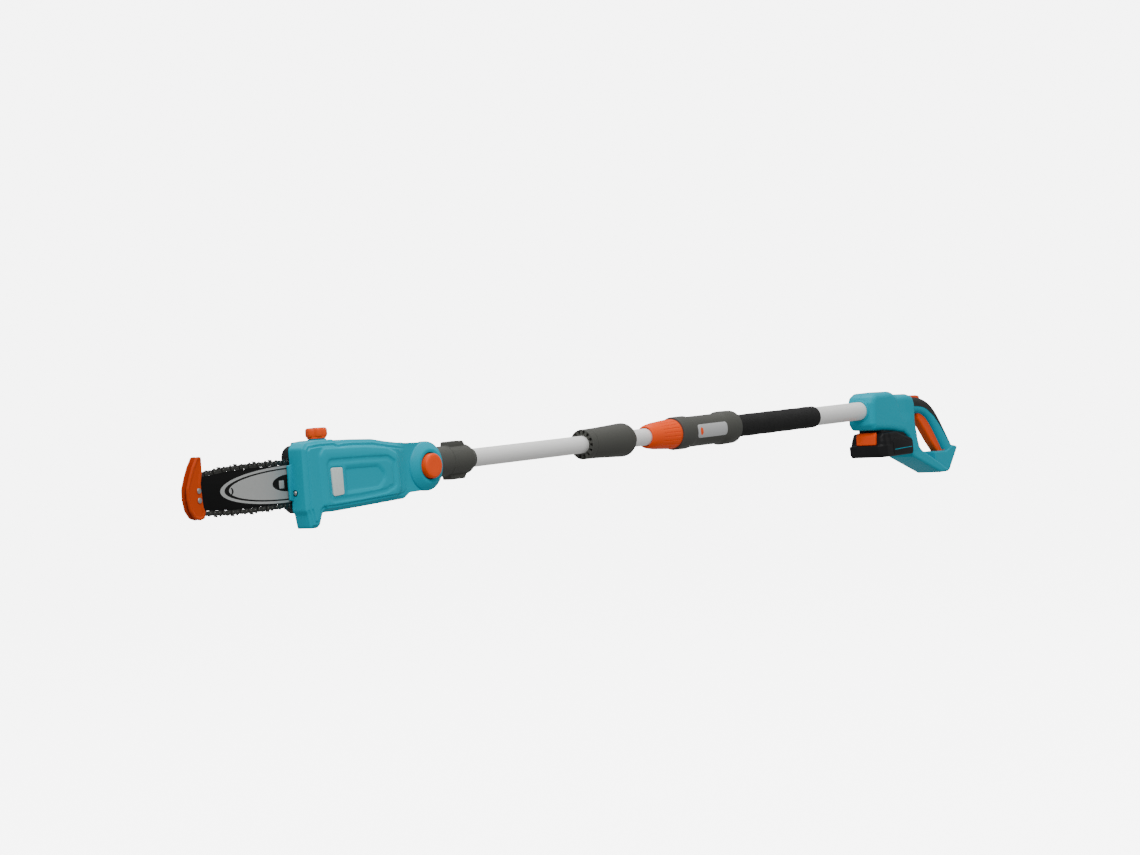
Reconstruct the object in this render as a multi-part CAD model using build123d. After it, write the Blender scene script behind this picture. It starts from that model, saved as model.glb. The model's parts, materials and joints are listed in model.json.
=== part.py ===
from build123d import *
import os
from math import cos, pi, sin

os.makedirs("parts", exist_ok=True)

# A battery pole saw on a telescoping pole. The pole's axis is the X axis and +X runs towards the
# rear handle. +Z is up and -Y is the side with the tilt button. The origin is on the pole's axis,
# in the middle of the bare stretch of the outer tube. All sizes are millimetres.

# fits
FIT = 0.3
RUNNING = 0.05
WALL = 2.5

# tubes: a bare stretch, and ends a little smaller under what is pushed over them
TUBE_WALL = 1.5
INNER_R = 14.0
FRONT_END_R = 13.9
OUTER_R = 16.5
OUTER_END_R = 16.4
OUTER_BORE = OUTER_R - TUBE_WALL

# stations along the pole
NOSE_X = -1577.0
HEAD_FRONT_X = -1410.0
SPROCKET_X = -1372.0
KNOB_X = -1347.0
COVER_END_X = -1330.0
MOTOR_FRONT_X = -1316.0
JOINT_X = -1150.0
EAR_X = -1055.0
YOKE_END_X = -1018.0
CORE_FRONT_X = -742.0
NUT_FRONT_X = -728.0
NUT_END_X = -617.0
SLEEVE_FRONT_X = -574.0
OUTER_FRONT_X = -500.0
LOCK_END_X = -331.0
FOAM_FRONT_X = -329.0
BARE_HALF = 77.0
HOUSING_X = 78.0
TUBE_END_X = 112.0
BATTERY_X = 92.0
BATTERY_END_X = 198.0

# cutting head
JOINT_Z = -2.0
KNUCKLE_HALF = 23.0
KNUCKLE_R = 27.5
NECK_R = 22.8
CHEEK_R = 36.0
BUTTON_R = 18.5
PIN_R = 5.0
HEAD_NEAR_Y = -38.0
HEAD_SIDE_Y = -31.0
HEAD_SPLIT_Y = 4.0
HEAD_FAR_Y = 30.0
BAR_HALF = 2.0
BAR_Z = -5.0
BAR_NOSE_R = 23.0
CHAIN_HALF = 3.0
CHAIN_HEIGHT = 7.0
SPROCKET_R = 23.5
SHAFT_R = 4.5
STUD_X = -1402.0
STUD_R = 3.5
TENSION_Y = -11.6
TENSION_Z = -19.0
COVER_FRONT_X = -1396.0
LABEL_LENGTH = 136.0
LABEL_HALF = 26.0
HEAD_SCREWS = [(-1318, 39), (-1214, 29), (-1314, -38), (-1218, -37)]
COVER_SCREWS = [(-1338, -39), (-1386, 37)]
GUARD_HOLES = [(-1589.5, 0), (-1589.5, -13)]
GUARD_GAP = 3.6
GUARD_HALF = 7.0

# bevel drive from the motor to the sprocket
PINION_Y = 11.0
CROWN_Y = 18.4
CROWN_R = 18.0
CROWN_TEETH = 16
PINION_TEETH = 6
MESH_X = SPROCKET_X + 13.5

# rear handle
BODY_HALF = 28.0
GRIP_HALF = 17.0
SKIN = 2.2
BATTERY_HALF = 38.0
CASE_SCREWS = [(120, -30), (192, 14), (222, -70), (318, -114)]
TRIGGER_PIVOT = (344, -92)


def save(shape, node):
    """Writes one sub-part, as one solid or as a group of separate ones."""
    solids = shape.solids()
    whole = solids[0] if len(solids) == 1 else Compound(children=list(solids))
    export_step(whole, f"parts/{node}.step")


def group(shapes):
    """Separate solids kept together in one sub-part."""
    return Compound(children=[solid for shape in shapes for solid in shape.solids()])


def prism(outline, low_y, high_y):
    """A block with an XZ outline between two Y planes."""
    wire = Polyline(*[(x, low_y, z) for x, z in outline], close=True)
    return extrude(make_face(wire), amount=high_y - low_y, dir=(0, 1, 0))


def slab(low_x, high_x, low_y, high_y, low_z, high_z):
    """A box from its limits."""
    size = (high_x - low_x, high_y - low_y, high_z - low_z)
    middle = ((low_x + high_x) / 2, (low_y + high_y) / 2, (low_z + high_z) / 2)
    return Pos(*middle) * Box(*size)


def x_rod(low_x, high_x, radius, y=0.0, z=0.0):
    return Pos((low_x + high_x) / 2, y, z) * Rot(0, 90, 0) * Cylinder(radius, high_x - low_x)


def y_rod(x, z, radius, low_y, high_y):
    return Pos(x, (low_y + high_y) / 2, z) * Rot(90, 0, 0) * Cylinder(radius, high_y - low_y)


def z_rod(x, y, radius, low_z, high_z):
    return Pos(x, y, (low_z + high_z) / 2) * Cylinder(radius, high_z - low_z)


def x_tube(low_x, high_x, radius, bore):
    return x_rod(low_x, high_x, radius) - x_rod(low_x - 1, high_x + 1, bore)


def turned(profile, bore):
    """A body turned about the pole's axis from (x, radius) points, with a straight bore."""
    first, last = profile[0][0], profile[-1][0]
    points = [(first, 0, bore)] + [(x, 0, r) for x, r in profile] + [(last, 0, bore)]
    return revolve(make_face(Polyline(*points, close=True)), Axis.X)


def y_turned(x, z, profile):
    """A body turned about an axis along Y from (radius, y) points."""
    wire = Polyline(*[(x + r, y, z) for r, y in profile], close=True)
    return revolve(make_face(wire), Axis((x, 0, z), (0, 1, 0)))


def arc_points(x, z, radius, start, end, steps):
    """Points on an arc in the XZ plane, in degrees from +X towards +Z."""
    angles = [(start + (end - start) * i / steps) * pi / 180 for i in range(steps + 1)]
    return [(x + radius * cos(a), z + radius * sin(a)) for a in angles]


def screw(x, z, head_y, tip_y, radius):
    """A cross-head screw whose head faces +Y."""
    seat_y = head_y - radius
    body = y_rod(x, z, radius * 1.9, seat_y, head_y) + y_rod(x, z, radius, tip_y, seat_y)
    body -= slab(x - radius, x + radius, head_y - 0.8, head_y + 1, z - 0.4, z + 0.4)
    return body - slab(x - 0.4, x + 0.4, head_y - 0.8, head_y + 1, z - radius, z + radius)


def screw_boss(x, z, low_y, high_y, radius=4.5):
    """A boss with a pilot hole for a screw that comes in from +Y."""
    return y_rod(x, z, radius, low_y, high_y) - y_rod(x, z, 1.6, high_y - 12, high_y + 1)


# ---- the pole and its twist lock


def outer_pole():
    tube = x_tube(OUTER_FRONT_X, -BARE_HALF, OUTER_END_R, OUTER_BORE)
    tube += x_tube(-BARE_HALF, BARE_HALF, OUTER_R, OUTER_BORE)
    tube += x_tube(BARE_HALF, TUBE_END_X, OUTER_END_R, OUTER_BORE)
    save(tube, "outer_tube")
    bush_end = OUTER_FRONT_X + 40
    save(x_tube(OUTER_FRONT_X, bush_end, OUTER_BORE, INNER_R + RUNNING), "tube_guide_bush")
    housing = turned(
        [(OUTER_FRONT_X, 25.5), (-497, 27.5), (-468, 27.5), (-461, 25.5), (-370, 25.5),
         (-363, 28.3), (-335, 28.3), (LOCK_END_X, 26.5)],
        OUTER_END_R,
    )
    seat = x_tube(-459, -374, 30, 24.9) & slab(-459, -374, -30, -10, -11.5, 11.5)
    save(housing - seat, "twist_lock_housing")
    plate = x_tube(-458.7, -374.3, 25.5, 24.9) & slab(-458.7, -374.3, -30, -10, -11.2, 11.2)
    save(plate, "label_plate")
    foam = turned([(FOAM_FRONT_X, 18.6), (-326, 19.3), (-81, 19.3), (-BARE_HALF, 18.3)], OUTER_END_R)
    save(foam, "foam_grip")


def twist_lock():
    collet = turned([(-552, 15.6), (-520, 17.0), (OUTER_FRONT_X, 17.0)], INNER_R + FIT)
    for turn in range(0, 360, 90):
        collet -= Rot(turn, 0, 0) * slab(-553, -515, 10, 18, -1.2, 1.2)
    save(collet, "clamping_collet")
    rear = OUTER_FRONT_X - 0.6
    rim = [(SLEEVE_FRONT_X, 17.0), (-572, 18.4), (-540, 22.2), (-515, 24.5), (rear, 24.5)]
    sleeve = turned(rim, INNER_R + FIT)
    sleeve -= x_rod(-558, OUTER_FRONT_X, 17.4)
    groove = slab(-545, -503, 23.4, 27, -0.7, 0.7)
    for rib in range(20):
        sleeve -= Rot(rib * 360 / 20, 0, 0) * groove
    save(sleeve, "twist_sleeve")


def inner_pole():
    save(x_tube(-680, 60, INNER_R, INNER_R - TUBE_WALL), "inner_tube")
    bush = x_tube(40, 60, OUTER_BORE - RUNNING, INNER_R)
    save(bush + x_tube(60, 63, OUTER_BORE - RUNNING, 9), "tube_end_bush")
    front = x_tube(-1098, YOKE_END_X, FRONT_END_R, INNER_R - TUBE_WALL)
    front += x_tube(YOKE_END_X, CORE_FRONT_X, INNER_R, INNER_R - TUBE_WALL)
    front += x_tube(CORE_FRONT_X, -684, FRONT_END_R, INNER_R - TUBE_WALL)
    save(front, "front_tube")
    save(x_rod(-1090, -690, 3.2), "pole_cable")


def pole_coupling():
    front_end = NUT_FRONT_X - 1
    core = turned([(CORE_FRONT_X, 22.8), (-741, 24), (front_end, 24), (front_end, 19.4), (-648, 19.4)],
                  FRONT_END_R)
    core -= x_rod(-680, -640, INNER_R)
    pocket = slab(CORE_FRONT_X - 1, CORE_FRONT_X + 9, 17.0, 21.6, -1.7, 1.7)
    for turn in range(14):
        core -= Rot(turn * 360 / 14, 0, 0) * pocket
    core += x_tube(-683.9, -680.1, 19.0, 11.5)
    save(core, "coupling_core")
    nut = turned(
        [(NUT_FRONT_X, 24), (-700, 24.6), (-645, 27.2), (-637, 27.4), (-630, 25.6), (-622, 18.5),
         (-620, 16), (NUT_END_X, 16)],
        INNER_R + FIT,
    )
    save(nut - x_rod(NUT_FRONT_X - 1, -640, 19.45), "coupling_nut")
    save(x_tube(-647.5, -640, 19.45, INNER_R + FIT), "nut_friction_ring")


def front_yoke():
    neck = x_rod(JOINT_X, -1031, NECK_R)
    beside = slab(JOINT_X - 30, JOINT_X + 41, -30, 30, -30, 30)
    neck -= beside - slab(JOINT_X - 31, JOINT_X + 42, -KNUCKLE_HALF, KNUCKLE_HALF, -31, 31)
    cone = turned([(-1031, NECK_R), (-1029, NECK_R), (-1021, 16.2), (YOKE_END_X, 16.2)], FRONT_END_R)
    ear = prism([(-1074, 21), (-1073, 27), (-1069, 28.6), (-1040, 28.6), (-1035, 27), (-1031.5, 21)], -9, 9)
    yoke = neck + y_rod(JOINT_X, JOINT_Z, KNUCKLE_R, -KNUCKLE_HALF, KNUCKLE_HALF) + cone
    yoke += ear + Rot(180, 0, 0) * ear
    yoke -= x_rod(-1098, YOKE_END_X, FRONT_END_R) + x_rod(-1112, -1097, 4)
    yoke -= y_rod(JOINT_X, JOINT_Z, PIN_R + RUNNING, -30, 30) + z_rod(EAR_X, 0, 2.5, -32, 32)
    save(yoke, "front_yoke")
    screws = [z_rod(EAR_X, 0, 2.5, FRONT_END_R, 27), z_rod(EAR_X, 0, 2.5, -27, -FRONT_END_R)]
    save(group(screws), "yoke_screws")


# ---- the cutting head's casing

HEAD_OUTLINE = [
    (HEAD_FRONT_X, -44), (HEAD_FRONT_X, 42), (-1400, 51), (-1376, 51.8), (-1332, 51.2), (-1322, 48),
    (-1310, 48.5), (-1264, 46), (-1240, 41), (-1200, 36), (-1182, 34), (JOINT_X, 34), (JOINT_X, -38),
    (-1190, -38), (-1204, -46), (-1282, -48), (-1400, -51),
]
HEAD_CAVITY = [
    (-1407.4, -42), (-1407.4, 41), (-1399, 48.4), (-1376, 49.2), (-1332, 48.6), (-1320, 45.4),
    (-1264, 43.4), (-1240, 38.4), (-1200, 33.4), (-1186, 31), (-1186, -34), (-1206, -43.4),
    (-1282, -45.4), (-1399, -48.4),
]
BULK = [
    (-1398, -42), (-1398, 38), (-1380, 46), (-1264, 42), (-1226, 36), (-1210, 24), (-1204, -36),
    (-1214, -43), (-1282, -46),
]
BULK_CAVITY = [
    (-1376, -40), (-1376, 38), (-1264, 36), (-1228, 30), (-1214, 20), (-1212, -34), (-1282, -40),
]
FOOT = [(-1406, -48), (-1405, -68), (-1402, -70), (-1391, -70), (-1387, -66), (-1378, -47)]


def joint_room(casing):
    """Takes out of a casing the room in which the yoke's knuckle and neck turn."""
    half = KNUCKLE_HALF + 0.4
    room = y_rod(JOINT_X, JOINT_Z, KNUCKLE_R + 3.5, -half, half)
    room += slab(JOINT_X - 18, JOINT_X + 50, -half, half, -45, 45)
    return casing - room


def near_casing():
    cup_floor = -KNUCKLE_HALF - 3
    bulk = prism(BULK, HEAD_NEAR_Y, HEAD_SIDE_Y + 1)
    casing = prism(HEAD_OUTLINE, HEAD_SIDE_Y, HEAD_SPLIT_Y)
    casing += chamfer(bulk.faces().sort_by(Axis.Y)[0].edges(), 4)
    casing += prism(FOOT, HEAD_SIDE_Y - 4, -4)
    casing += y_turned(JOINT_X, JOINT_Z, [(0, -38), (25, -38), (CHEEK_R, -31), (CHEEK_R, -23), (0, -23)])
    casing -= prism(HEAD_CAVITY, HEAD_SIDE_Y + WALL, HEAD_SPLIT_Y + 1)
    casing -= prism(BULK_CAVITY, HEAD_NEAR_Y + 3, HEAD_SIDE_Y + 3)
    casing = joint_room(casing)
    casing -= y_rod(JOINT_X, JOINT_Z, BUTTON_R + 0.5, -40, cup_floor)
    casing -= y_rod(JOINT_X, JOINT_Z, PIN_R, -30, -20)
    casing -= slab(HEAD_FRONT_X - 1, HEAD_FRONT_X + 12, -4, 5, -45, 37)
    casing -= z_rod(KNOB_X, 0, 12, 40, 60)
    casing -= slab(-1362, -1338, -39, -34, -27, 11)
    casing -= x_rod(HEAD_FRONT_X - 1, HEAD_FRONT_X + 8, 3.4, y=TENSION_Y, z=TENSION_Z)
    for x, z in HEAD_SCREWS + COVER_SCREWS:
        casing += screw_boss(x, z, HEAD_SIDE_Y + 1, HEAD_SPLIT_Y)
    save(casing, "head_housing_near")


def far_casing():
    rear = slab(COVER_END_X, 0, -80, 80, -100, 100)
    casing = prism(HEAD_OUTLINE, HEAD_SPLIT_Y, HEAD_FAR_Y) & rear
    casing += y_turned(JOINT_X, JOINT_Z, [(0, 36), (27, 36), (CHEEK_R, 31), (CHEEK_R, 23), (0, 23)])
    cavity = prism(HEAD_CAVITY, HEAD_SPLIT_Y - 1, HEAD_FAR_Y - WALL)
    casing -= cavity & slab(COVER_END_X + WALL, 0, -80, 80, -100, 100)
    casing -= slab(COVER_END_X - 1, COVER_END_X + 3, 4.1, 18, -12, 2)
    casing = joint_room(casing) - y_rod(JOINT_X, JOINT_Z, PIN_R, 20, 40)
    for x, z in HEAD_SCREWS:
        casing += y_rod(x, z, 4.5, HEAD_SPLIT_Y, HEAD_FAR_Y - 1)
        casing -= y_rod(x, z, 3.4, HEAD_FAR_Y - 3, HEAD_FAR_Y + 1) + y_rod(x, z, 1.6, 3, HEAD_FAR_Y)
    save(casing, "head_housing_far")


def sprocket_cover():
    rear = COVER_END_X - 0.4
    outline = [(COVER_FRONT_X, -43), (COVER_FRONT_X, 33), (-1392, 41), (-1383, 46.5), (rear, 50), (rear, -49),
               (-1388, -49)]
    inside = [(-1410, -40), (-1410, 32), (-1391, 38), (-1382, 43.5), (rear - WALL, 47), (rear - WALL, -46),
              (-1388, -46)]
    cover = prism(outline, HEAD_SPLIT_Y, HEAD_FAR_Y)
    cover = chamfer(cover.faces().sort_by(Axis.Y)[-1].edges(), 3)
    cover -= prism(inside, HEAD_SPLIT_Y - 1, HEAD_FAR_Y - WALL)
    cover -= slab(rear - 4, rear + 1, 4.1, 18, -12, 2) + z_rod(KNOB_X, 0, 12, 40, 60)
    cover += y_rod(SPROCKET_X, BAR_Z, 9, 25.5, HEAD_FAR_Y - 1)
    cover -= y_rod(SPROCKET_X, BAR_Z, 6.5, 24, 28)
    for x, z in COVER_SCREWS:
        cover += y_rod(x, z, 4.5, HEAD_SPLIT_Y, HEAD_FAR_Y - 1)
        cover -= y_rod(x, z, 3.4, HEAD_FAR_Y - 3, HEAD_FAR_Y + 1) + y_rod(x, z, 1.6, 3, HEAD_FAR_Y)
    save(cover, "sprocket_cover")
    screws = [screw(x, z, HEAD_FAR_Y - 1.4, -6, 1.6) for x, z in HEAD_SCREWS + COVER_SCREWS]
    save(group(screws), "head_screws")


# ---- bar, chain and tip guard


def bar_outline(grow):
    """The guide bar's upper flank, round nose and lower flank, grown by an even amount."""
    flank = [(-1408, 26.5), (-1440, 27), (-1490, 27.3), (-1532, 26.2)]
    upper = [(x, BAR_Z + half + grow) for x, half in flank]
    nose = arc_points(NOSE_X, BAR_Z, BAR_NOSE_R + grow, 94, 266, 16)
    lower = [(x, 2 * BAR_Z - z) for x, z in reversed(upper)]
    return upper + nose + lower


def chain_loop(grow):
    """The solid inside a loop round the bar and the sprocket."""
    sprocket = arc_points(SPROCKET_X, BAR_Z, SPROCKET_R + grow, -75, 75, 12)
    return prism(bar_outline(grow) + sprocket, -CHAIN_HALF, CHAIN_HALF)


def bar_and_chain():
    tail = [(-1398, BAR_Z - 20), (-1398, BAR_Z + 20)]
    bar_slot = slab(-1432, -1396, -5, 5, BAR_Z - 5, BAR_Z + 5)
    bar = prism(bar_outline(0) + tail, -BAR_HALF, BAR_HALF) - bar_slot
    for x, z in GUARD_HOLES:
        bar -= y_rod(x, z, 2.2, -3, 3)
    save(bar, "guide_bar")
    half_round = arc_points(0, 0, 1, 90, 270, 20)
    oval = [(HEAD_FRONT_X + LABEL_LENGTH * x, BAR_Z + LABEL_HALF * z) for x, z in half_round]
    plate = prism(oval, -BAR_HALF - 0.3, -BAR_HALF)
    save(plate - bar_slot, "bar_label")
    save(chain_loop(0.25 + CHAIN_HEIGHT) - chain_loop(0.25), "saw_chain")
    save(slab(-1431.5, -1421.5, -2.4, BAR_HALF, BAR_Z - 4.8, BAR_Z + 4.8), "bar_guide_block")
    save(y_rod(STUD_X, BAR_Z, STUD_R, -8, 11), "bar_stud")
    nut = y_rod(STUD_X, BAR_Z, 8.5, BAR_HALF, 3.4) + prism(arc_points(STUD_X, BAR_Z, 7.5, 0, 300, 5), 3.4, 9)
    save(nut - y_rod(STUD_X, BAR_Z, STUD_R, 0, 12), "bar_nut")


def tip_guard():
    outline = [
        (-1589, 46), (-1581, 46), (-1581.5, 24), (-1585, 10), (-1585, 2), (-1584, -14), (-1583, -23),
        (-1580, -29), (-1582, -38), (-1590, -40), (-1600, -37), (-1608, -26), (-1611.5, -10), (-1611, 4),
        (-1604.5, 20), (-1598, 33),
    ]
    plate = prism(outline, GUARD_GAP, GUARD_HALF)
    rivets = []
    for x, z in GUARD_HOLES:
        plate = plate + y_rod(x, z, 4, BAR_HALF, GUARD_GAP) - y_rod(x, z, 2.2, 1, 10)
        head = y_rod(x, z, 3.8, GUARD_HALF, GUARD_HALF + 1.4)
        rivets.append(head + mirror(head, Plane.XZ) + y_rod(x, z, 2.2, -GUARD_HALF, GUARD_HALF))
    save(mirror(plate, Plane.XZ), "tip_guard_near")
    save(plate, "tip_guard_far")
    save(group(rivets), "guard_rivets")


# ---- the head's oil system and drive


def oil_system():
    tank = slab(-1374, -1322, -33.5, -11, -30, 31) + slab(-1361, -1333, -28, 13, 31, 44)
    tank -= slab(-1372, -1324, -31.5, -13, -28, 30) + slab(-1359, -1335, -26, 11, 29, 42)
    save(tank - z_rod(KNOB_X, 0, 9.5, 40, 46), "oil_tank")
    save(slab(-1362, -1338, -37.6, -33.5, -27, 11), "oil_window")
    save(z_rod(KNOB_X, 0, 12, 44, 54.5) - z_rod(KNOB_X, 0, 9.5, 40, 60), "filler_neck")
    cap = z_rod(KNOB_X, 0, 14.5, 52.4, 56.5) + z_rod(KNOB_X, 0, 13.5, 56, 69)
    for lobe in range(6):
        turn = lobe * pi / 3
        cap += z_rod(KNOB_X + 11.2 * cos(turn), 11.2 * sin(turn), 4.8, 56, 68)
    cap -= z_rod(KNOB_X, 0, 12.4, 50, 54.9)
    save(cap + z_rod(KNOB_X, 0, 9.1, 46, 56), "oil_cap")


def drive():
    plate = slab(-1407, -1325, -8, -5, -32, 29)
    plate -= y_rod(SPROCKET_X, BAR_Z, 8, -9, -4) + y_rod(STUD_X, BAR_Z, STUD_R, -9, -4)
    save(plate, "chassis_plate")
    motor = x_rod(MOTOR_FRONT_X, -1252, 16, PINION_Y, BAR_Z)
    save(motor - x_rod(-1320, -1250, 3 + RUNNING, PINION_Y, BAR_Z), "motor_case")
    save(x_rod(MESH_X + 6, -1246, 3, PINION_Y, BAR_Z), "motor_shaft")
    pinion = x_rod(MESH_X - 0.7, MESH_X + 6, 3.4, PINION_Y, BAR_Z)
    tooth = slab(MESH_X - 0.7, MESH_X + 6, PINION_Y + 2.5, PINION_Y + 6.3, BAR_Z - 0.7, BAR_Z + 0.7)
    pinion_axis = Axis((0, PINION_Y, BAR_Z), (1, 0, 0))
    for index in range(PINION_TEETH):
        pinion += tooth.rotate(pinion_axis, (index + 0.5) * 360 / PINION_TEETH)
    save(pinion, "motor_pinion")
    crown = y_rod(SPROCKET_X, BAR_Z, CROWN_R, CROWN_Y, CROWN_Y + 3)
    tooth = slab(MESH_X, SPROCKET_X + CROWN_R, CROWN_Y - 3, CROWN_Y + 1, BAR_Z - 0.7, BAR_Z + 0.7)
    crown_axis = Axis((SPROCKET_X, 0, BAR_Z), (0, 1, 0))
    for index in range(CROWN_TEETH):
        crown += tooth.rotate(crown_axis, index * 360 / CROWN_TEETH)
    save(crown - y_rod(SPROCKET_X, BAR_Z, SHAFT_R, 10, 30), "crown_gear")
    save(y_rod(SPROCKET_X, BAR_Z, SHAFT_R, -10.5, 27.4), "sprocket_shaft")
    sprocket = y_rod(SPROCKET_X, BAR_Z, 16, -2.6, 2.6)
    for x, z in arc_points(SPROCKET_X, BAR_Z, 16.5, 0, 315, 7):
        sprocket += y_rod(x, z, 4.6, -2.6, 2.6)
    save(sprocket - y_rod(SPROCKET_X, BAR_Z, SHAFT_R, -4, 4), "drive_sprocket")
    rear = y_rod(SPROCKET_X, BAR_Z, 8, -10, -5)
    outer = y_rod(SPROCKET_X, BAR_Z, 6.5, 25, 28)
    bore = y_rod(SPROCKET_X, BAR_Z, SHAFT_R + RUNNING, -12, 29)
    save(group([rear - bore, outer - bore]), "shaft_bearings")


def tilt_lock():
    button = y_turned(
        JOINT_X, JOINT_Z,
        [(0, -46), (14.5, -46), (17.5, -44), (BUTTON_R, -41), (BUTTON_R, -31.5), (15.5, -31.5),
         (15.5, -42.5), (0, -42.5)],
    )
    save(button, "tilt_button")
    spring = y_rod(JOINT_X, JOINT_Z, 12, -42.5, -26) - y_rod(JOINT_X, JOINT_Z, 10, -43, -25)
    save(spring, "tilt_button_spring")
    pin = y_rod(JOINT_X, JOINT_Z, PIN_R, -26, 36) + y_rod(JOINT_X, JOINT_Z, 9, 36, 39)
    save(pin, "pivot_pin")
    head = HEAD_FRONT_X + 1.5
    tension = x_rod(head - 2.5, head, 3, y=TENSION_Y, z=TENSION_Z)
    tension += x_rod(head, head + 14, 1.8, y=TENSION_Y, z=TENSION_Z)
    notch = slab(head - 4, head - 1.5, TENSION_Y - 3, TENSION_Y + 3, TENSION_Z - 0.4, TENSION_Z + 0.4)
    save(tension - notch, "chain_tension_screw")


# ---- the rear handle

BODY = [
    (HOUSING_X, -28), (79, 14), (84, 24), (96, 30.5), (146, 30.5), (158, 28), (168, 23.5), (206, 23),
    (224, 18), (230, 4), (229, -30), (231, -60), (236, -76), (214, -88), (203.5, -88), (203, -56),
    (186, -47), (150, -42), (110, -38), (86, -36),
]
STRUT = [
    (203, -50), (231, -55), (236, -76), (246, -84), (280, -99.5), (312, -116), (334, -128), (334, -131),
    (306, -131), (211, -94), (203, -88),
]
GRIP = [
    (214, 16), (256, 14), (275, 12.5), (293, 8.5), (310, -0.5), (326, -14), (342, -33.5), (358, -54.5),
    (371, -75.5), (380, -84), (389, -87), (352, -131), (306, -131), (296, -108), (302, -91), (346, -91),
    (342, -82), (323, -60), (304, -38), (292, -24), (275, -15.5), (256, -14), (226, -14), (214, -10),
]
OVERMOULD = [
    (232, 0), (232, 15.2), (256, 14), (275, 12.5), (293, 8.5), (310, -0.5), (326, -14), (342, -33.5),
    (358, -54.5), (371, -75.5), (375.5, -84.3), (368.5, -81.5), (354.5, -66), (336, -42), (320, -22.5),
    (305, -9), (290, -1.5), (272, 0.5),
]
OVERMOULD_CORE = [
    (231, -1), (231, 12.9), (256, 11.8), (274.6, 10.3), (292, 6.4), (308.6, -2.3), (324.3, -15.5),
    (340.2, -34.8), (356.2, -55.7), (369, -76.5), (371.5, -82), (368, -84), (354, -68), (334, -44),
    (318, -24), (304, -11), (290, -3), (272, -1),
]
TRIGGER_SLOT = [
    (258, -10), (258, -24), (300, -78), (330, -102), (356, -102), (360, -86), (345, -62), (322, -34),
    (304, -12), (286, -5), (268, -6),
]
TRIGGER = [
    (262, -18), (264, -26), (277, -38.5), (291, -53.5), (310, -74.5), (329, -93), (338, -98.5), (350, -97),
    (352, -88), (346.7, -78), (327.7, -56), (309, -34.5), (296.6, -20), (280, -12.5), (268, -13.5),
]


def hollow(outline, wall, half):
    """The hollow of a casing, drawn in from its outline by an even wall."""
    face = make_face(Polyline(*[(x, 0, z) for x, z in outline], close=True))
    inner = offset(face, amount=-wall, kind=Kind.INTERSECTION)
    return extrude(inner, amount=half, dir=(0, 1, 0), both=True)


def overmould():
    grip = prism(OVERMOULD, -GRIP_HALF, GRIP_HALF) - prism(OVERMOULD_CORE, SKIN - GRIP_HALF, GRIP_HALF - SKIN)
    return grip - slab(237, 278, -8.5, 8.5, 0, 30)


def handle_casing():
    body = prism(BODY, -BODY_HALF, BODY_HALF)
    for side in (0, -1):
        edges = body.faces().sort_by(Axis.Y)[side].edges().filter_by_position(Axis.Z, 12, 40)
        body = chamfer(edges, 4)
    casing = body + prism(STRUT, -BODY_HALF, BODY_HALF) + prism(GRIP, -GRIP_HALF, GRIP_HALF)
    inside = BODY_HALF - 3
    casing -= hollow(BODY, WALL, inside) + hollow(STRUT, WALL, inside)
    casing -= hollow(GRIP, 5, GRIP_HALF - 4.5) + slab(215, 238, -12, 12, -8, 9)
    casing += x_tube(HOUSING_X + 2, 91.8, 21, OUTER_END_R - 0.5)
    casing -= x_rod(60, 92, OUTER_END_R)
    casing -= prism(TRIGGER_SLOT, -10.5, 10.5) + slab(237, 278, -8.5, 8.5, 0, 30)
    pivot_x, pivot_z = TRIGGER_PIVOT
    for low, high in ((-14.5, -10.5), (10.5, 14.5)):
        casing += y_rod(pivot_x, pivot_z, 6, low, high)
    casing -= y_rod(pivot_x, pivot_z, 3, -14, 14)
    for x, z in CASE_SCREWS:
        casing += y_rod(x, z, 4.5, -BODY_HALF + 1, BODY_HALF - 1)
        casing -= y_rod(x, z, 3.4, BODY_HALF - 4, BODY_HALF + 1) + y_rod(x, z, 1.6, -14, BODY_HALF)
    return casing - overmould()


def rear_handle():
    casing = handle_casing()
    save(casing & slab(0, 500, -60, 0, -200, 100), "rear_housing_near")
    save(casing & slab(0, 500, 0, 60, -200, 100), "rear_housing_far")
    save(overmould(), "grip_overmould")
    save(group([screw(x, z, BODY_HALF - 2, -12, 1.6) for x, z in CASE_SCREWS]), "case_screws")
    pivot_x, pivot_z = TRIGGER_PIVOT
    save(y_rod(pivot_x, pivot_z, 3, -14, 14), "trigger_pin")
    save(prism(TRIGGER, -9.8, 9.8) - y_rod(pivot_x, pivot_z, 3 + RUNNING, -12, 12), "trigger")
    save(slab(238, 277, -8, 8, 5.5, 15.5) + slab(240, 275, -7, 7, 15.5, 17), "lock_off_button")
    save(x_tube(92, TUBE_END_X, 21, OUTER_END_R), "tube_clamp")
    board = slab(128, 184, -1.6, 0, -26, 10)
    for x in (132, 146, 160):
        board += slab(x, x + 10, 0, 9, -18, -4)
    save(board, "controller_board")
    switch = prism([(325, -38), (335.2, -50.4), (331.3, -53.5), (321.2, -41.2)], -6, 6)
    save(switch, "trigger_switch")


# ---- the battery, which slides off towards the pole


def battery_dock():
    rail = prism([(110, -38), (150, -42), (186, -47), (195, -51.8), (195, -53), (110, -53)], -24, 24)
    rail += slab(112, 150, -27, 27, -53, -49.5)
    save(rail, "battery_rail")
    save(group([slab(156, 184, y - 0.4, y + 0.4, -55.5, -53) for y in (-9, 9)]), "battery_contacts")


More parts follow.
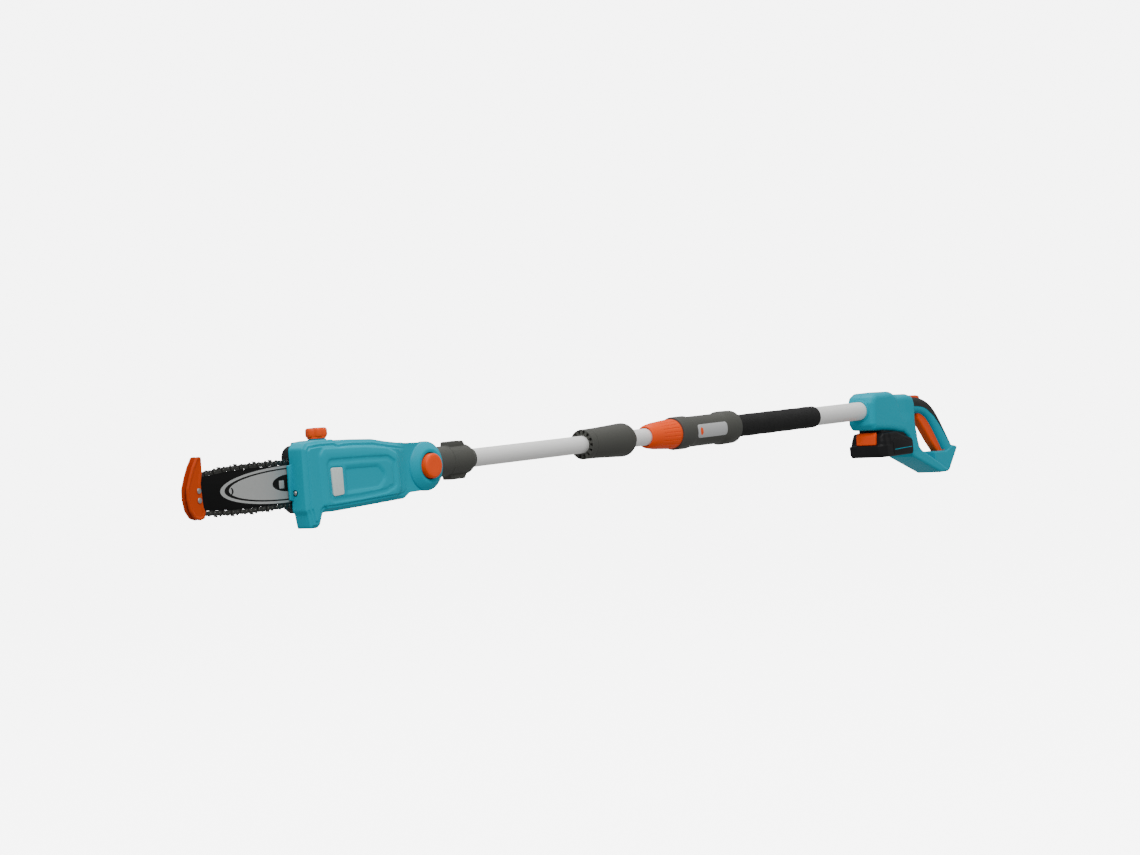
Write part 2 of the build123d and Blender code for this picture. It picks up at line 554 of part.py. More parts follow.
def battery():
    case = prism(
        [(98, -87), (BATTERY_X + 2, -81), (BATTERY_X, -65), (98, -63.5), (100, -46), (106, -42.6),
         (146, -42.6), (160, -48), (196, -58), (BATTERY_END_X, -64), (BATTERY_END_X, -82), (196, -87)],
        -BATTERY_HALF, BATTERY_HALF,
    )
    upright = case.edges().filter_by(Axis.Z)
    case = chamfer(upright, 1) if upright else case
    case -= prism([(97, -85), (97, -66.2), (110, -66.2), (110, -57.5), (158, -57.5), (194, -61.5), (196, -66),
                   (196, -85)], -36, 36)
    case -= slab(108.5, 210, -24.6, 24.6, -53.6, -30) + slab(110.5, 210, -27.6, 27.6, -53.6, -48.9)
    for y in (-9, 9):
        case -= slab(145, 210, y - 1, y + 1, -56.2, -50)
    case -= prism([(80, -64.6), (80, -38), (106, -38), (106, -64.6)], -20.5, 20.5)
    save(case, "battery_case")
    cells = [y_rod(109.6 + 18.6 * index, -75.9, 9, -32.5, 32.5) for index in range(5)]
    save(group(cells), "battery_cells")
    button = prism([(92, -64), (92, -48), (96, -41.5), (101, -41.5), (101, -64)], -20, 20)
    save(button, "battery_release_button")


outer_pole()
twist_lock()
inner_pole()
pole_coupling()
front_yoke()
near_casing()
far_casing()
sprocket_cover()
bar_and_chain()
tip_guard()
oil_system()
drive()
tilt_lock()
rear_handle()
battery_dock()
battery()
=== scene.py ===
"""The looks of a telescoping pole saw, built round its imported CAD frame.

The frame's own axes are used: the pole lies along X with the saw head at -X and the rear handle at
+X, +Z is up and the side with the tilt button faces -Y. Shapes are written in millimetres and
turned into metres when their mesh is made.
"""

import json
from math import ceil, cos, floor, hypot, pi, radians, sin, sqrt

import bmesh
import bpy
import numpy as np
from mathutils import Matrix, Vector
from mathutils.geometry import delaunay_2d_cdt


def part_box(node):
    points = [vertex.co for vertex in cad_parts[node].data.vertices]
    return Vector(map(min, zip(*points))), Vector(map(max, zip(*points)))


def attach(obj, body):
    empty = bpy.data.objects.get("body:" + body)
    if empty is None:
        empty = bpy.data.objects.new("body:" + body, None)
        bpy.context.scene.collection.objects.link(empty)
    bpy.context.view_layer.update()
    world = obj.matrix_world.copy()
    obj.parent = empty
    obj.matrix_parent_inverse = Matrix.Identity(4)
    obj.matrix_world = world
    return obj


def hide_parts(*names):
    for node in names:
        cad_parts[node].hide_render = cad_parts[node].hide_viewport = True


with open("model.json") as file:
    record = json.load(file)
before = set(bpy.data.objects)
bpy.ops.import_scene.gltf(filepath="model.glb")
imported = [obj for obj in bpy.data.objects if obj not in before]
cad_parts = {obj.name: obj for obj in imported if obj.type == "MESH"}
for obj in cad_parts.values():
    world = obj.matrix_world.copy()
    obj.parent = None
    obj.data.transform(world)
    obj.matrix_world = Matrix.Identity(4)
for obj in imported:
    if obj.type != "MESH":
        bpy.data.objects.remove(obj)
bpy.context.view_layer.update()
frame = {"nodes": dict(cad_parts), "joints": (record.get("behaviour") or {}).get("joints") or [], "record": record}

MM = 0.001
SHARP = radians(32)


def span(node):
    """A CAD node's lowest and highest corner, in millimetres."""
    low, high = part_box(node)
    return [v / MM for v in low], [v / MM for v in high]


# ---- driving sizes, read from the frame where the frame has them

JOINTS = {joint["name"]: joint for joint in frame["joints"]}
JOINT_X, JOINT_Z = (JOINTS["head_tilt"]["pos_m"][i] / MM for i in (0, 2))
TILT_CENTRE = (JOINT_X, 0, JOINT_Z)
SPROCKET_X, BAR_Z = (JOINTS["sprocket_spin"]["pos_m"][i] / MM for i in (0, 2))
KNOB_X = JOINTS["oil_cap_turn"]["pos_m"][0] / MM
HEAD_FRONT_X = span("head_housing_near")[0][0]
HEAD_SPLIT_Y = span("head_housing_near")[1][1]
HEAD_FAR_Y = span("sprocket_cover")[1][1]
COVER_END_X = span("head_housing_far")[0][0]
BAR_HALF = span("guide_bar")[1][1]
BODY_HALF = span("rear_housing_far")[1][1]
GRIP_HALF = span("grip_overmould")[1][1]
TRIGGER_HALF = span("trigger")[1][1]
TUBE_WALL = 1.5
NOSE_X = -1577.0
NOSE_R = 23.0
GUARD_GAP = span("tip_guard_far")[0][1] + 1.6
GUARD_HALF = span("tip_guard_far")[1][1]


# ---- shapes: each gives (points, faces), in millimetres


def join(*shapes):
    """Several shapes as one."""
    points, faces = [], []
    for shape_points, shape_faces in shapes:
        start = len(points)
        points += shape_points
        faces += [[start + i for i in face] for face in shape_faces]
    return points, faces


def skin(loops, caps=(True, True), closed=True):
    """A skin over loops of equally many points, with a face on the first and last loop."""
    count = len(loops[0])
    points = [tuple(p) for loop in loops for p in loop]
    faces = []
    for row in range(len(loops) - 1):
        for i in range(count if closed else count - 1):
            j = (i + 1) % count
            a, b = row * count, (row + 1) * count
            faces.append([a + i, a + j, b + j, b + i])
    if caps[0]:
        faces.append(list(range(count))[::-1])
    if caps[1]:
        faces.append([len(points) - count + i for i in range(count)])
    return points, faces


def arc(x, z, radius, start, end, steps):
    """Points on an arc, in degrees from the first axis towards the second."""
    angles = [radians(start + (end - start) * i / steps) for i in range(steps + 1)]
    return [(x + radius * cos(a), z + radius * sin(a)) for a in angles]


def rounded(corners, steps=4):
    """An outline from (a, b, radius) corners, each rounded by an arc."""
    outline = []
    count = len(corners)
    for i, (a, b, radius) in enumerate(corners):
        here = Vector((a, b))
        before = Vector(corners[i - 1][:2]) - here
        after = Vector(corners[(i + 1) % count][:2]) - here
        if radius <= 0:
            outline.append((a, b))
            continue
        half = before.angle(after) / 2
        slope = max(sin(half) / max(cos(half), 1e-6), 1e-6)
        reach = min(radius / slope, before.length * 0.48, after.length * 0.48)
        start, end = here + before.normalized() * reach, here + after.normalized() * reach
        for k in range(steps + 1):
            t = k / steps
            outline.append(tuple(start * (1 - t) ** 2 + here * 2 * t * (1 - t) + end * t * t))
    return outline


def rounded_box(low, high, radius, steps=4):
    """A rectangle's outline with rounded corners, from its lowest and highest corner."""
    (a, b), (c, d) = low, high
    return rounded([(a, b, radius), (c, b, radius), (c, d, radius), (a, d, radius)], steps)


def area(outline):
    """An outline's signed area, positive when it runs anticlockwise."""
    pairs = zip(outline, outline[1:] + outline[:1])
    return sum(a[0] * b[1] - b[0] * a[1] for a, b in pairs) / 2


def inset(outline, amount):
    """An outline moved inwards by an even amount."""
    turn = 1 if area(outline) > 0 else -1
    result = []
    for i, point in enumerate(outline):
        here = Vector(point)
        before = (here - Vector(outline[i - 1])).normalized()
        after = (Vector(outline[(i + 1) % len(outline)]) - here).normalized()
        normals = [Vector((-d.y, d.x)) * turn for d in (before, after)]
        middle = normals[0] + normals[1]
        middle = normals[0] if middle.length < 1e-6 else middle.normalized()
        stretch = max(middle.dot(normals[0]), 0.4)
        result.append(tuple(here + middle * amount / stretch))
    return result


def scaled(outline, share):
    """An outline drawn in evenly towards its middle."""
    middle = sum((Vector(p) for p in outline), Vector((0, 0))) / len(outline)
    return [tuple(middle + (Vector(p) - middle) * share) for p in outline]


def dense(outline, spacing):
    """An outline with points at an even spacing along it."""
    closed = outline + outline[:1]
    lengths = [hypot(b[0] - a[0], b[1] - a[1]) for a, b in zip(closed, closed[1:])]
    total = sum(lengths)
    count = ceil(total / spacing)
    result, piece_start, piece = [], 0.0, 0
    for i in range(count):
        at = total * i / count
        while at > piece_start + lengths[piece]:
            piece_start += lengths[piece]
            piece += 1
        t = (at - piece_start) / lengths[piece]
        a, b = closed[piece], closed[piece + 1]
        result.append((a[0] + (b[0] - a[0]) * t, a[1] + (b[1] - a[1]) * t))
    return result


def slab_xz(outline, low_y, high_y, edge=0.5, steps=2):
    """A plate with an XZ outline between two Y planes, with rounded edges."""
    edge = min(edge, (high_y - low_y) / 2)
    turns = [radians(90 * i / steps) for i in range(steps + 1)]
    rings = [(edge * (1 - sin(a)), low_y + edge * (1 - cos(a))) for a in turns]
    rings += [(edge * (1 - cos(a)), high_y - edge * (1 - sin(a))) for a in turns]
    return skin([[(x, y, z) for x, z in inset(outline, amount)] for amount, y in rings])


def turned(axis, profile, centre=(0, 0, 0), segments=72, shape=None, closed=True):
    """A body turned about an axis through centre, from (place along the axis, radius) points.
    shape(angle, place, radius) may give another place and radius at each angle."""
    loops = []
    for place, radius in profile:
        loop = []
        for i in range(segments):
            angle = 2 * pi * i / segments
            at, r = shape(angle, place, radius) if shape else (place, radius)
            u, v = r * cos(angle), r * sin(angle)
            x, y, z = {"x": (at, u, v), "y": (v, at, u), "z": (u, v, at)}[axis]
            loop.append((x + centre[0], y + centre[1], z + centre[2]))
        loops.append(loop)
    return skin(loops, caps=(closed, closed))


def fillet(place, radius, size, out, steps=4):
    """Profile points of a rounded rim: out is -1 for a rim that faces down the axis, 1 for up."""
    turns = [radians(90 * i / steps) for i in range(steps + 1)]
    if out < 0:
        return [(place + size * (1 - sin(a)), radius - size * (1 - cos(a))) for a in turns[::-1]]
    return [(place - size * (1 - sin(a)), radius - size * (1 - cos(a))) for a in turns]


def distance(points, outline):
    """Each point's distance to an outline, positive inside it."""
    p = np.asarray(points, float)[:, None, :]
    a = np.asarray(outline, float)[None, :, :]
    b = np.roll(a, -1, axis=1)
    along = b - a
    t = np.clip(((p - a) * along).sum(2) / np.maximum((along**2).sum(2), 1e-12), 0, 1)
    away = np.sqrt(((p - a - along * t[:, :, None]) ** 2).sum(2)).min(1)
    px, pz = p[:, :, 0], p[:, :, 1]
    crosses = (a[:, :, 1] > pz) != (b[:, :, 1] > pz)
    height = np.where(crosses, along[:, :, 1], 1.0)
    reach = a[:, :, 0] + (pz - a[:, :, 1]) / height * along[:, :, 0]
    inside = (crosses & (px < reach)).sum(1) % 2 == 1
    return np.where(inside, away, -away)


def ease(value, low, high):
    """A smooth step from 0 to 1 as value goes from low to high."""
    t = np.clip((np.asarray(value, float) - low) / (high - low), 0, 1)
    return t * t * (3 - 2 * t)


def rim(away, width):
    """How far a rounded edge has fallen off: 1 at the outline, 0 from width inside it."""
    share = np.clip(1 - away / width, 0, 1)
    return 1 - np.sqrt(np.maximum(1 - share**2, 0))


def plane(y):
    """A flat parting plane for relief."""
    return lambda x: y


def thinned(points, gap):
    """The points in order, without each that lies closer than gap to one kept before."""
    kept, cells = [], {}
    for x, z in points:
        column, row = floor(x / gap), floor(z / gap)
        around = [cells.get((column + i, row + j)) for i in (-1, 0, 1) for j in (-1, 0, 1)]
        if all(q is None or hypot(q[0] - x, q[1] - z) >= gap for q in around):
            kept.append((x, z))
            cells[column, row] = (x, z)
    return kept


# distances from an outline at which a relief's mesh has a ring of points, for its rounded edge
RINGS = (0.4, 1.0, 1.8, 2.8, 3.8, 5.0, 6.0, 7.2, 8.4, 9.3, 10.2)


def relief(outline, depth, base, side, spacing=2.4, lines=()):
    """A moulded shell half: a wall round the outline from the parting plane y = base(x), and a face
    whose distance from y = 0 is depth(x, z, distance from the outline). lines holds (corners, insets)
    of the face's own steps, where the mesh is finer."""
    detail = []
    for amount in RINGS:
        ring = inset(outline, amount)
        detail += [p for p, away in zip(ring, distance(ring, outline)) if away > amount * 0.9]
    for corners, amounts in lines:
        for amount in amounts:
            ring = inset(dense(rounded(corners), 1.5), amount)
            detail += [p for p, away in zip(ring, distance(ring, outline)) if away > RINGS[0]]
    detail = thinned(detail, 0.35)
    xs, zs = zip(*outline)
    columns, rows = (np.arange(min(values), max(values), spacing) for values in (xs, zs))
    grid = [(x, z) for x in columns for z in rows]
    grid = [p for p, away in zip(grid, distance(grid, outline)) if away > 1.5]
    near = np.array(detail)
    grid = [p for p in grid if np.hypot(near[:, 0] - p[0], near[:, 1] - p[1]).min() > spacing * 0.6]
    count = len(outline)
    flat = [Vector(p) for p in outline + detail + grid]
    flat, _, faces, sources, _, _ = delaunay_2d_cdt(flat, [], [list(range(count))], 1, 1e-4)
    away = np.maximum(distance([tuple(p) for p in flat], outline), 0)
    x, z = np.array([p.x for p in flat]), np.array([p.y for p in flat])
    points = list(zip(x, side * depth(x, z, away), z))
    place = {source: i for i, found in enumerate(sources) for source in found}
    start = len(points)
    points += [(px, base(px), pz) for px, pz in outline]
    faces = [list(face) for face in faces]
    for i in range(count):
        j = (i + 1) % count
        faces.append([place[i], place[j], start + j, start + i])
    faces.append([start + i for i in range(count)])
    return points, faces


def pillow(outline, half, edge):
    """A plate from -half to half in Y with an XZ outline and evenly rounded edges."""

    def depth(x, z, away):
        return half - edge * rim(away, edge)

    outline = dense(outline, 1.6)
    return join(*(relief(outline, depth, plane(side * 0.05), side, 3.0) for side in (-1, 1)))


def sweep(path, half_width, radius, power, arcs=(0, 360), grow=0.0, steps=40):
    """A grip along an XZ path: at each place a rounded box, half_width to each side in Y and radius
    to each side of the path in its plane. arcs limits it to part of the way round."""
    loops = []
    for i, (x, z) in enumerate(path):
        before, after = path[max(i - 1, 0)], path[min(i + 1, len(path) - 1)]
        along = Vector((after[0] - before[0], after[1] - before[1])).normalized()
        normal = Vector((-along.y, along.x))
        loop = []
        for k in range(steps + 1):
            angle = radians(arcs[0] + (arcs[1] - arcs[0]) * k / steps)
            c, s = cos(angle), sin(angle)
            size = (abs(c) ** power + abs(s) ** power) ** (-1 / power)
            out = c * size * (radius + grow)
            loop.append((x + normal.x * out, s * size * (half_width + grow), z + normal.y * out))
        loops.append(loop[:-1] if arcs[1] - arcs[0] == 360 else loop)
    return loops


# ---- materials


class Nodes:
    """A material and short ways to add nodes to it."""

    def __init__(self, name, color, roughness, metallic=0.0, **sockets):
        self.material = bpy.data.materials.new(name)
        self.material.use_nodes = True
        self.tree = self.material.node_tree
        self.shader = self.tree.nodes["Principled BSDF"]
        self.color, self.roughness = color, roughness
        self.shader.inputs["Metallic"].default_value = metallic
        for socket, value in sockets.items():
            self.shader.inputs[socket.replace("_", " ")].default_value = value
        self.place = self.add("ShaderNodeTexCoord").outputs["Object"]

    def add(self, kind, **settings):
        node = self.tree.nodes.new(kind)
        for key, value in settings.items():
            setattr(node, key, value)
        return node

    def link(self, output, socket):
        self.tree.links.new(output, socket)

    def stretched(self, scale):
        """The place, scaled by a different amount along each axis."""
        mapping = self.add("ShaderNodeMapping")
        mapping.inputs["Scale"].default_value = scale
        self.link(self.place, mapping.inputs["Vector"])
        return mapping.outputs["Vector"]

    def noise(self, scale, detail=3.0, place=None):
        node = self.add("ShaderNodeTexNoise")
        node.inputs["Scale"].default_value = scale
        node.inputs["Detail"].default_value = detail
        self.link(place or self.place, node.inputs["Vector"])
        return node.outputs["Fac"]

    def cells(self, scale, feature="F1"):
        node = self.add("ShaderNodeTexVoronoi", feature=feature)
        node.inputs["Scale"].default_value = scale
        self.link(self.place, node.inputs["Vector"])
        return node.outputs["Distance"]

    def between(self, factor, low, high, start=0.3, end=0.7):
        """A number that follows factor, from low at start to high at end."""
        node = self.add("ShaderNodeMapRange")
        for socket, value in zip(("From Min", "From Max", "To Min", "To Max"), (start, end, low, high)):
            node.inputs[socket].default_value = value
        self.link(factor, node.inputs["Value"])
        return node.outputs["Result"]

    def blend(self, factor, first, second):
        """A colour that goes from first to second with factor."""
        node = self.add("ShaderNodeMix", data_type="RGBA")
        self.link(factor, node.inputs["Factor"])
        for socket, value in ((node.inputs[6], first), (node.inputs[7], second)):
            if isinstance(value, tuple):
                socket.default_value = (*value, 1)
            else:
                self.link(value, socket)
        return node.outputs[2]

    def shade(self, amount):
        """The base colour, lighter or darker."""
        return tuple(min(c * amount, 1) for c in self.color)

    def bump(self, height, distance_mm, strength=1.0, under=None):
        node = self.add("ShaderNodeBump")
        node.inputs["Strength"].default_value = strength
        node.inputs["Distance"].default_value = distance_mm * MM
        self.link(height, node.inputs["Height"])
        if under:
            self.link(under, node.inputs["Normal"])
        return node.outputs["Normal"]

    def finish(self, color, roughness, normal=None):
        self.link(color, self.shader.inputs["Base Color"])
        self.link(roughness, self.shader.inputs["Roughness"])
        if normal:
            self.link(normal, self.shader.inputs["Normal"])
        return self.material


def moulded(name, color, roughness=0.42, grain=1300, depth=0.035, wear=1.25, **sockets):
    """Injection-moulded plastic: a fine spark-eroded grain, faint flow shades and rubbed edges."""
    m = Nodes(name, color, roughness, **{"Specular_IOR_Level": 0.14, **sockets})
    flow = m.blend(m.noise(9, 4), m.shade(0.93), m.shade(1.06))
    edge = m.add("ShaderNodeNewGeometry").outputs["Pointiness"]
    rubbed = m.between(edge, 0.0, 0.5, 0.53, 0.62)
    surface = m.blend(rubbed, flow, m.shade(wear))
    fine = m.noise(grain, 2)
    rough = m.between(m.noise(30, 5), roughness - 0.05, roughness + 0.07)
    return m.finish(surface, rough, m.bump(fine, depth, 0.6, m.bump(m.noise(70, 2), 0.03, 0.25)))


def soft_rubber(name, color, roughness=0.72):
    """Soft-touch rubber with fine dimples."""
    m = Nodes(name, color, roughness, Specular_IOR_Level=0.15, Sheen_Weight=0.03)
    tint = m.blend(m.noise(40, 4), m.shade(0.8), m.shade(1.25))
    dimples = m.bump(m.cells(900), 0.12, 0.5)
    return m.finish(tint, m.between(m.noise(60, 4), roughness - 0.08, roughness + 0.1), dimples)


def foam_rubber(name, color):
    """Closed-cell foam: pores of several sizes in a matt black."""
    m = Nodes(name, color, 0.9, Specular_IOR_Level=0.1, Sheen_Weight=0.04)
    tint = m.blend(m.noise(300, 5), m.shade(0.6), m.shade(1.7))
    pores = m.bump(m.cells(1100), 0.25, 0.7, m.bump(m.noise(160, 4), 0.4, 0.4))
    return m.finish(tint, m.between(m.noise(90, 3), 0.82, 0.98), pores)


def drawn_tube(name, color):
    """Satin anodised tube with faint draw lines along it and small handling marks."""
    m = Nodes(name, color, 0.38, metallic=0.15)
    lines = m.noise(1.0, 3, m.stretched((6, 900, 900)))
    tint = m.blend(lines, m.shade(0.92), m.shade(1.03))
    marks = m.noise(1.0, 5, m.stretched((70, 260, 260)))
    return m.finish(tint, m.between(marks, 0.34, 0.5), m.bump(lines, 0.02, 0.35))


def machined(name, color, roughness=0.3, streak=(60, 900, 60)):
    """Brushed or ground steel with streaks and a little staining."""
    m = Nodes(name, color, roughness, metallic=1.0)
    streaks = m.noise(1.0, 4, m.stretched(streak))
    stain = m.noise(120, 5)
    tint = m.blend(stain, m.shade(0.65), m.shade(1.15))
    return m.finish(tint, m.between(streaks, roughness - 0.08, roughness + 0.2), m.bump(streaks, 0.03, 0.4))


def painted_bar(name, color):
    """Black paint on the bar, worn to a brown-grey where the chain rubs."""
    m = Nodes(name, color, 0.4, Specular_IOR_Level=0.08)
    edge = m.add("ShaderNodeNewGeometry").outputs["Pointiness"]
    scratches = m.noise(1.0, 6, m.stretched((40, 400, 700)))
    worn = m.between(edge, 0.0, 0.6, 0.52, 0.6)
    tint = m.blend(scratches, m.shade(0.7), m.shade(1.6))
    tint = m.blend(worn, tint, (0.03, 0.028, 0.026))
    return m.finish(tint, m.between(scratches, 0.25, 0.5), m.bump(scratches, 0.02, 0.4))


def printed_foil(name, color):
    """Silver foil with a soft sheen, its colour darkened towards the head as painted shade where the head housing
    stands beside the label's end.
    """
    m = Nodes(name, color, 0.4, metallic=0.3, Specular_IOR_Level=0.25, Coat_Weight=0.1)
    split = m.add("ShaderNodeSeparateXYZ")
    m.link(m.place, split.inputs[0])
    # painted shade: the foil's colour darkens over its last few centimetres towards the head housing
    head_shade = m.between(split.outputs["X"], 0.0, 1.0, -1.47, -1.40)
    tint = m.blend(head_shade, m.shade(1.05), m.shade(0.8))
    tint = m.blend(m.noise(200, 4), m.shade(0.95), tint)
    return m.finish(tint, m.between(m.noise(80, 4), 0.3, 0.42), m.bump(m.noise(900, 2), 0.01, 0.3))


def milky_window(name, color):
    """A translucent sight window over the oil tank."""
    m = Nodes(name, color, 0.28, Transmission_Weight=0.08, Coat_Weight=0.15, IOR=1.45)
    split = m.add("ShaderNodeSeparateXYZ")
    m.link(m.place, split.inputs[0])
    level = m.between(split.outputs["Z"], 0.0, 1.0, -0.013, -0.009)
    tint = m.blend(level, m.shade(0.93), m.shade(1.0))
    tint = m.blend(m.noise(60, 3), m.shade(0.9), tint)
    return m.finish(tint, m.between(m.noise(150, 3), 0.22, 0.36), m.bump(m.noise(500, 2), 0.02, 0.3))


def printed_board(name, color):
    """A circuit board with pads and tracks."""
    m = Nodes(name, color, 0.4)
    tracks = m.between(m.cells(160, "DISTANCE_TO_EDGE"), 0.0, 1.0, 0.02, 0.06)
    tint = m.blend(tracks, (0.45, 0.32, 0.12), m.color)
    return m.finish(tint, m.between(m.noise(90), 0.3, 0.5), m.bump(tracks, 0.03, 0.5))


MATERIALS = {
    "turquoise_plastic": moulded("turquoise_plastic", (0.0, 0.37, 0.49), 0.42, wear=1.1),
    "orange_plastic": moulded("orange_plastic", (1.0, 0.085, 0.008), 0.4, wear=1.05),
    "guard_orange": moulded("guard_orange", (0.56, 0.055, 0.008), 0.45, wear=1.15),
    "dark_grey_plastic": moulded("dark_grey_plastic", (0.078, 0.079, 0.071), 0.5, wear=1.5),
    "black_plastic": moulded("black_plastic", (0.013, 0.013, 0.014), 0.42, wear=1.8),
    "soft_grip": soft_rubber("soft_grip", (0.03, 0.031, 0.029)),
    "foam": foam_rubber("foam", (0.016, 0.016, 0.016)),
    "silver_plastic": moulded("silver_plastic", (0.5, 0.51, 0.51), 0.38, wear=1.1),
    "aluminium_tube": drawn_tube("aluminium_tube", (0.97, 0.97, 0.95)),
    "steel": machined("steel", (0.52, 0.52, 0.52)),
    "chain_steel": machined("chain_steel", (0.1, 0.1, 0.093), 0.42, (300, 900, 300)),
    "bar_paint": painted_bar("bar_paint", (0.0035, 0.0035, 0.0038)),
    "label_foil": printed_foil("label_foil", (0.46, 0.47, 0.46)),
    "clear_window": milky_window("clear_window", (0.78, 0.88, 0.85)),
    "copper_contact": machined("copper_contact", (0.7, 0.45, 0.2), 0.3),
    "board_green": printed_board("board_green", (0.02, 0.14, 0.05)),
}


# ---- pieces


def piece(name, shape, slot, body, stands_for=()):
    """One object of one material that rides on a CAD body and may stand for CAD nodes."""
    points, faces = shape
    mesh = bpy.data.meshes.new(name)
    mesh.from_pydata([(x * MM, y * MM, z * MM) for x, y, z in points], [], faces)
    shell = bmesh.new()
    shell.from_mesh(mesh)
    bmesh.ops.remove_doubles(shell, verts=shell.verts, dist=1e-6)
    bmesh.ops.recalc_face_normals(shell, faces=shell.faces)
    for face in shell.faces:
        face.smooth = True
    for edge in shell.edges:
        edge.smooth = len(edge.link_faces) == 2 and edge.calc_face_angle(0) < SHARP
    shell.to_mesh(mesh)
    shell.free()
    mesh.materials.append(MATERIALS[slot])
    obj = bpy.data.objects.new(name, mesh)
    bpy.context.scene.collection.objects.link(obj)
    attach(obj, body)
    if stands_for:
        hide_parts(*stands_for)
    return obj


def cut(obj, low, high):
    """Takes a box out of a piece."""
    corners = [(x, y, z) for x in (low[0], high[0]) for y in (low[1], high[1]) for z in (low[2], high[2])]
    mesh = bpy.data.meshes.new("cutter")
    sides = [(0, 1, 3, 2), (4, 6, 7, 5), (0, 4, 5, 1), (2, 3, 7, 6), (0, 2, 6, 4), (1, 5, 7, 3)]
    mesh.from_pydata([tuple(v * MM for v in corner) for corner in corners], [], sides)
    cutter = bpy.data.objects.new("cutter", mesh)
    bpy.context.scene.collection.objects.link(cutter)
    modifier = obj.modifiers.new("cut", "BOOLEAN")
    modifier.object, modifier.operation, modifier.solver = cutter, "DIFFERENCE", "EXACT"
    modifier.use_self = True
    made = bpy.data.meshes.new_from_object(obj.evaluated_get(bpy.context.evaluated_depsgraph_get()))
    obj.modifiers.clear()
    obj.data = made
    bpy.data.objects.remove(cutter)


def dress_cad_nodes():
    """Gives every CAD node the procedural material of its slot."""
    slots = {part["node"]: part["material_slot"] for part in frame["record"]["subparts"]}
    for node, obj in frame["nodes"].items():
        for index in range(len(obj.material_slots)):
            obj.material_slots[index].material = MATERIALS[slots[node]]


# ---- the pole


def tubes():
    """The pole's three tubes; the outer one lies a hair under the fittings over its ends."""
    for node, body, under in (("outer_tube", "handle", 0.1), ("inner_tube", "inner_pole", 0),
                              ("front_tube", "inner_pole", 0)):
        (front, _, _), (rear, _, radius) = span(node)
        bore, outside = radius - TUBE_WALL, radius - under
        section = [(front, bore), (front, outside), (rear, outside), (rear, bore), (front, bore)]
        piece(f"{node}_skin", turned("x", section, closed=False), "aluminium_tube", body, (node,))


def coupling():
    """The ring with pockets round its front rim, and the long nut behind it."""
    pockets = 14
    columns = 6
    (ring_front, _, _), (_, _, ring_r) = span("coupling_core")
    (nut_front, _, _), (nut_rear, _, _) = span("coupling_nut")
    ring_rear = nut_front - 0.5

    def pocketed(angle, place, radius):
        column = round(angle / (2 * pi) * pockets * columns) % columns
        deep = column < 2 and place < ring_front + 0.6 and 17 < radius < 21.8
        return (place + 8 if deep else place), radius

    profile = [(ring_front + 3, 14.05), (ring_front + 0.4, 14.6)]
    profile += [(ring_front, radius) for radius in (16.4, 17.1, 21.6, 22.3)]
    profile += fillet(ring_front, ring_r, 1.4, -1) + fillet(ring_rear, ring_r, 0.6, 1)
    profile += [(ring_rear, 19), (ring_rear + 40, 19)]
    ring = turned("x", profile, segments=pockets * columns, shape=pocketed, closed=False)
    piece("coupling_ring", ring, "dark_grey_plastic", "inner_pole", ("coupling_core",))
    profile = [(nut_front, 19.5)] + fillet(nut_front, 24, 0.6, -1)
    profile += [(-700, 24.7), (-670, 26.0), (-650, 26.9), (-641, 27.3), (-637, 27.2), (-633, 26.3)]
    profile += [(-629, 24.4), (-625, 21.6), (-621, 18.2), (-619, 16.6), (nut_rear, 16), (nut_rear, 14.3)]
    nut = turned("x", profile, segments=96, closed=False)
    piece("coupling_nut_skin", nut, "dark_grey_plastic", "clamp_nut", ("coupling_nut",))


def twist_sleeve():
    """The orange sleeve: smooth in front, with shallow finger grooves behind."""
    front, rear = (corner[0] for corner in span("twist_sleeve"))
    fluted_x = front + 22
    grooves = 22

    def fluted(angle, place, radius):
        within = (angle / (2 * pi) * grooves) % 1.0
        groove = max(0.0, 1 - abs(within - 0.5) / 0.16)
        fade = float(ease(place, fluted_x, fluted_x + 8)) * float(ease(-place, 3 - rear, 6 - rear))
        return place, radius - 0.75 * groove * fade

    profile = [(front + 5, 14.3), (front, 15.6), (front + 0.3, 16.8), (front + 1.2, 17.8)]
    profile += [(front + 5, 19.4), (front + 12, 20.6), (front + 18, 21.5), (fluted_x, 22.0)]
    profile += [(fluted_x + 3 * i, 22.0 + 0.2 * i) for i in range(1, 13)]
    profile += [(-510, 24.5), (-507, 24.5), (-504.5, 24.5), (-502, 24.4), (rear, 24.0), (rear, 17.5)]
    sleeve = turned("x", profile, segments=grooves * 12, shape=fluted, closed=False)
    piece("twist_sleeve_skin", sleeve, "orange_plastic", "twist_ring", ("twist_sleeve",))


def on_barrel(outline, radius):
    """An XZ outline laid on the near side of a barrel about the X axis."""
    return [(x, -sqrt(radius**2 - z * z), z) for x, z in outline]


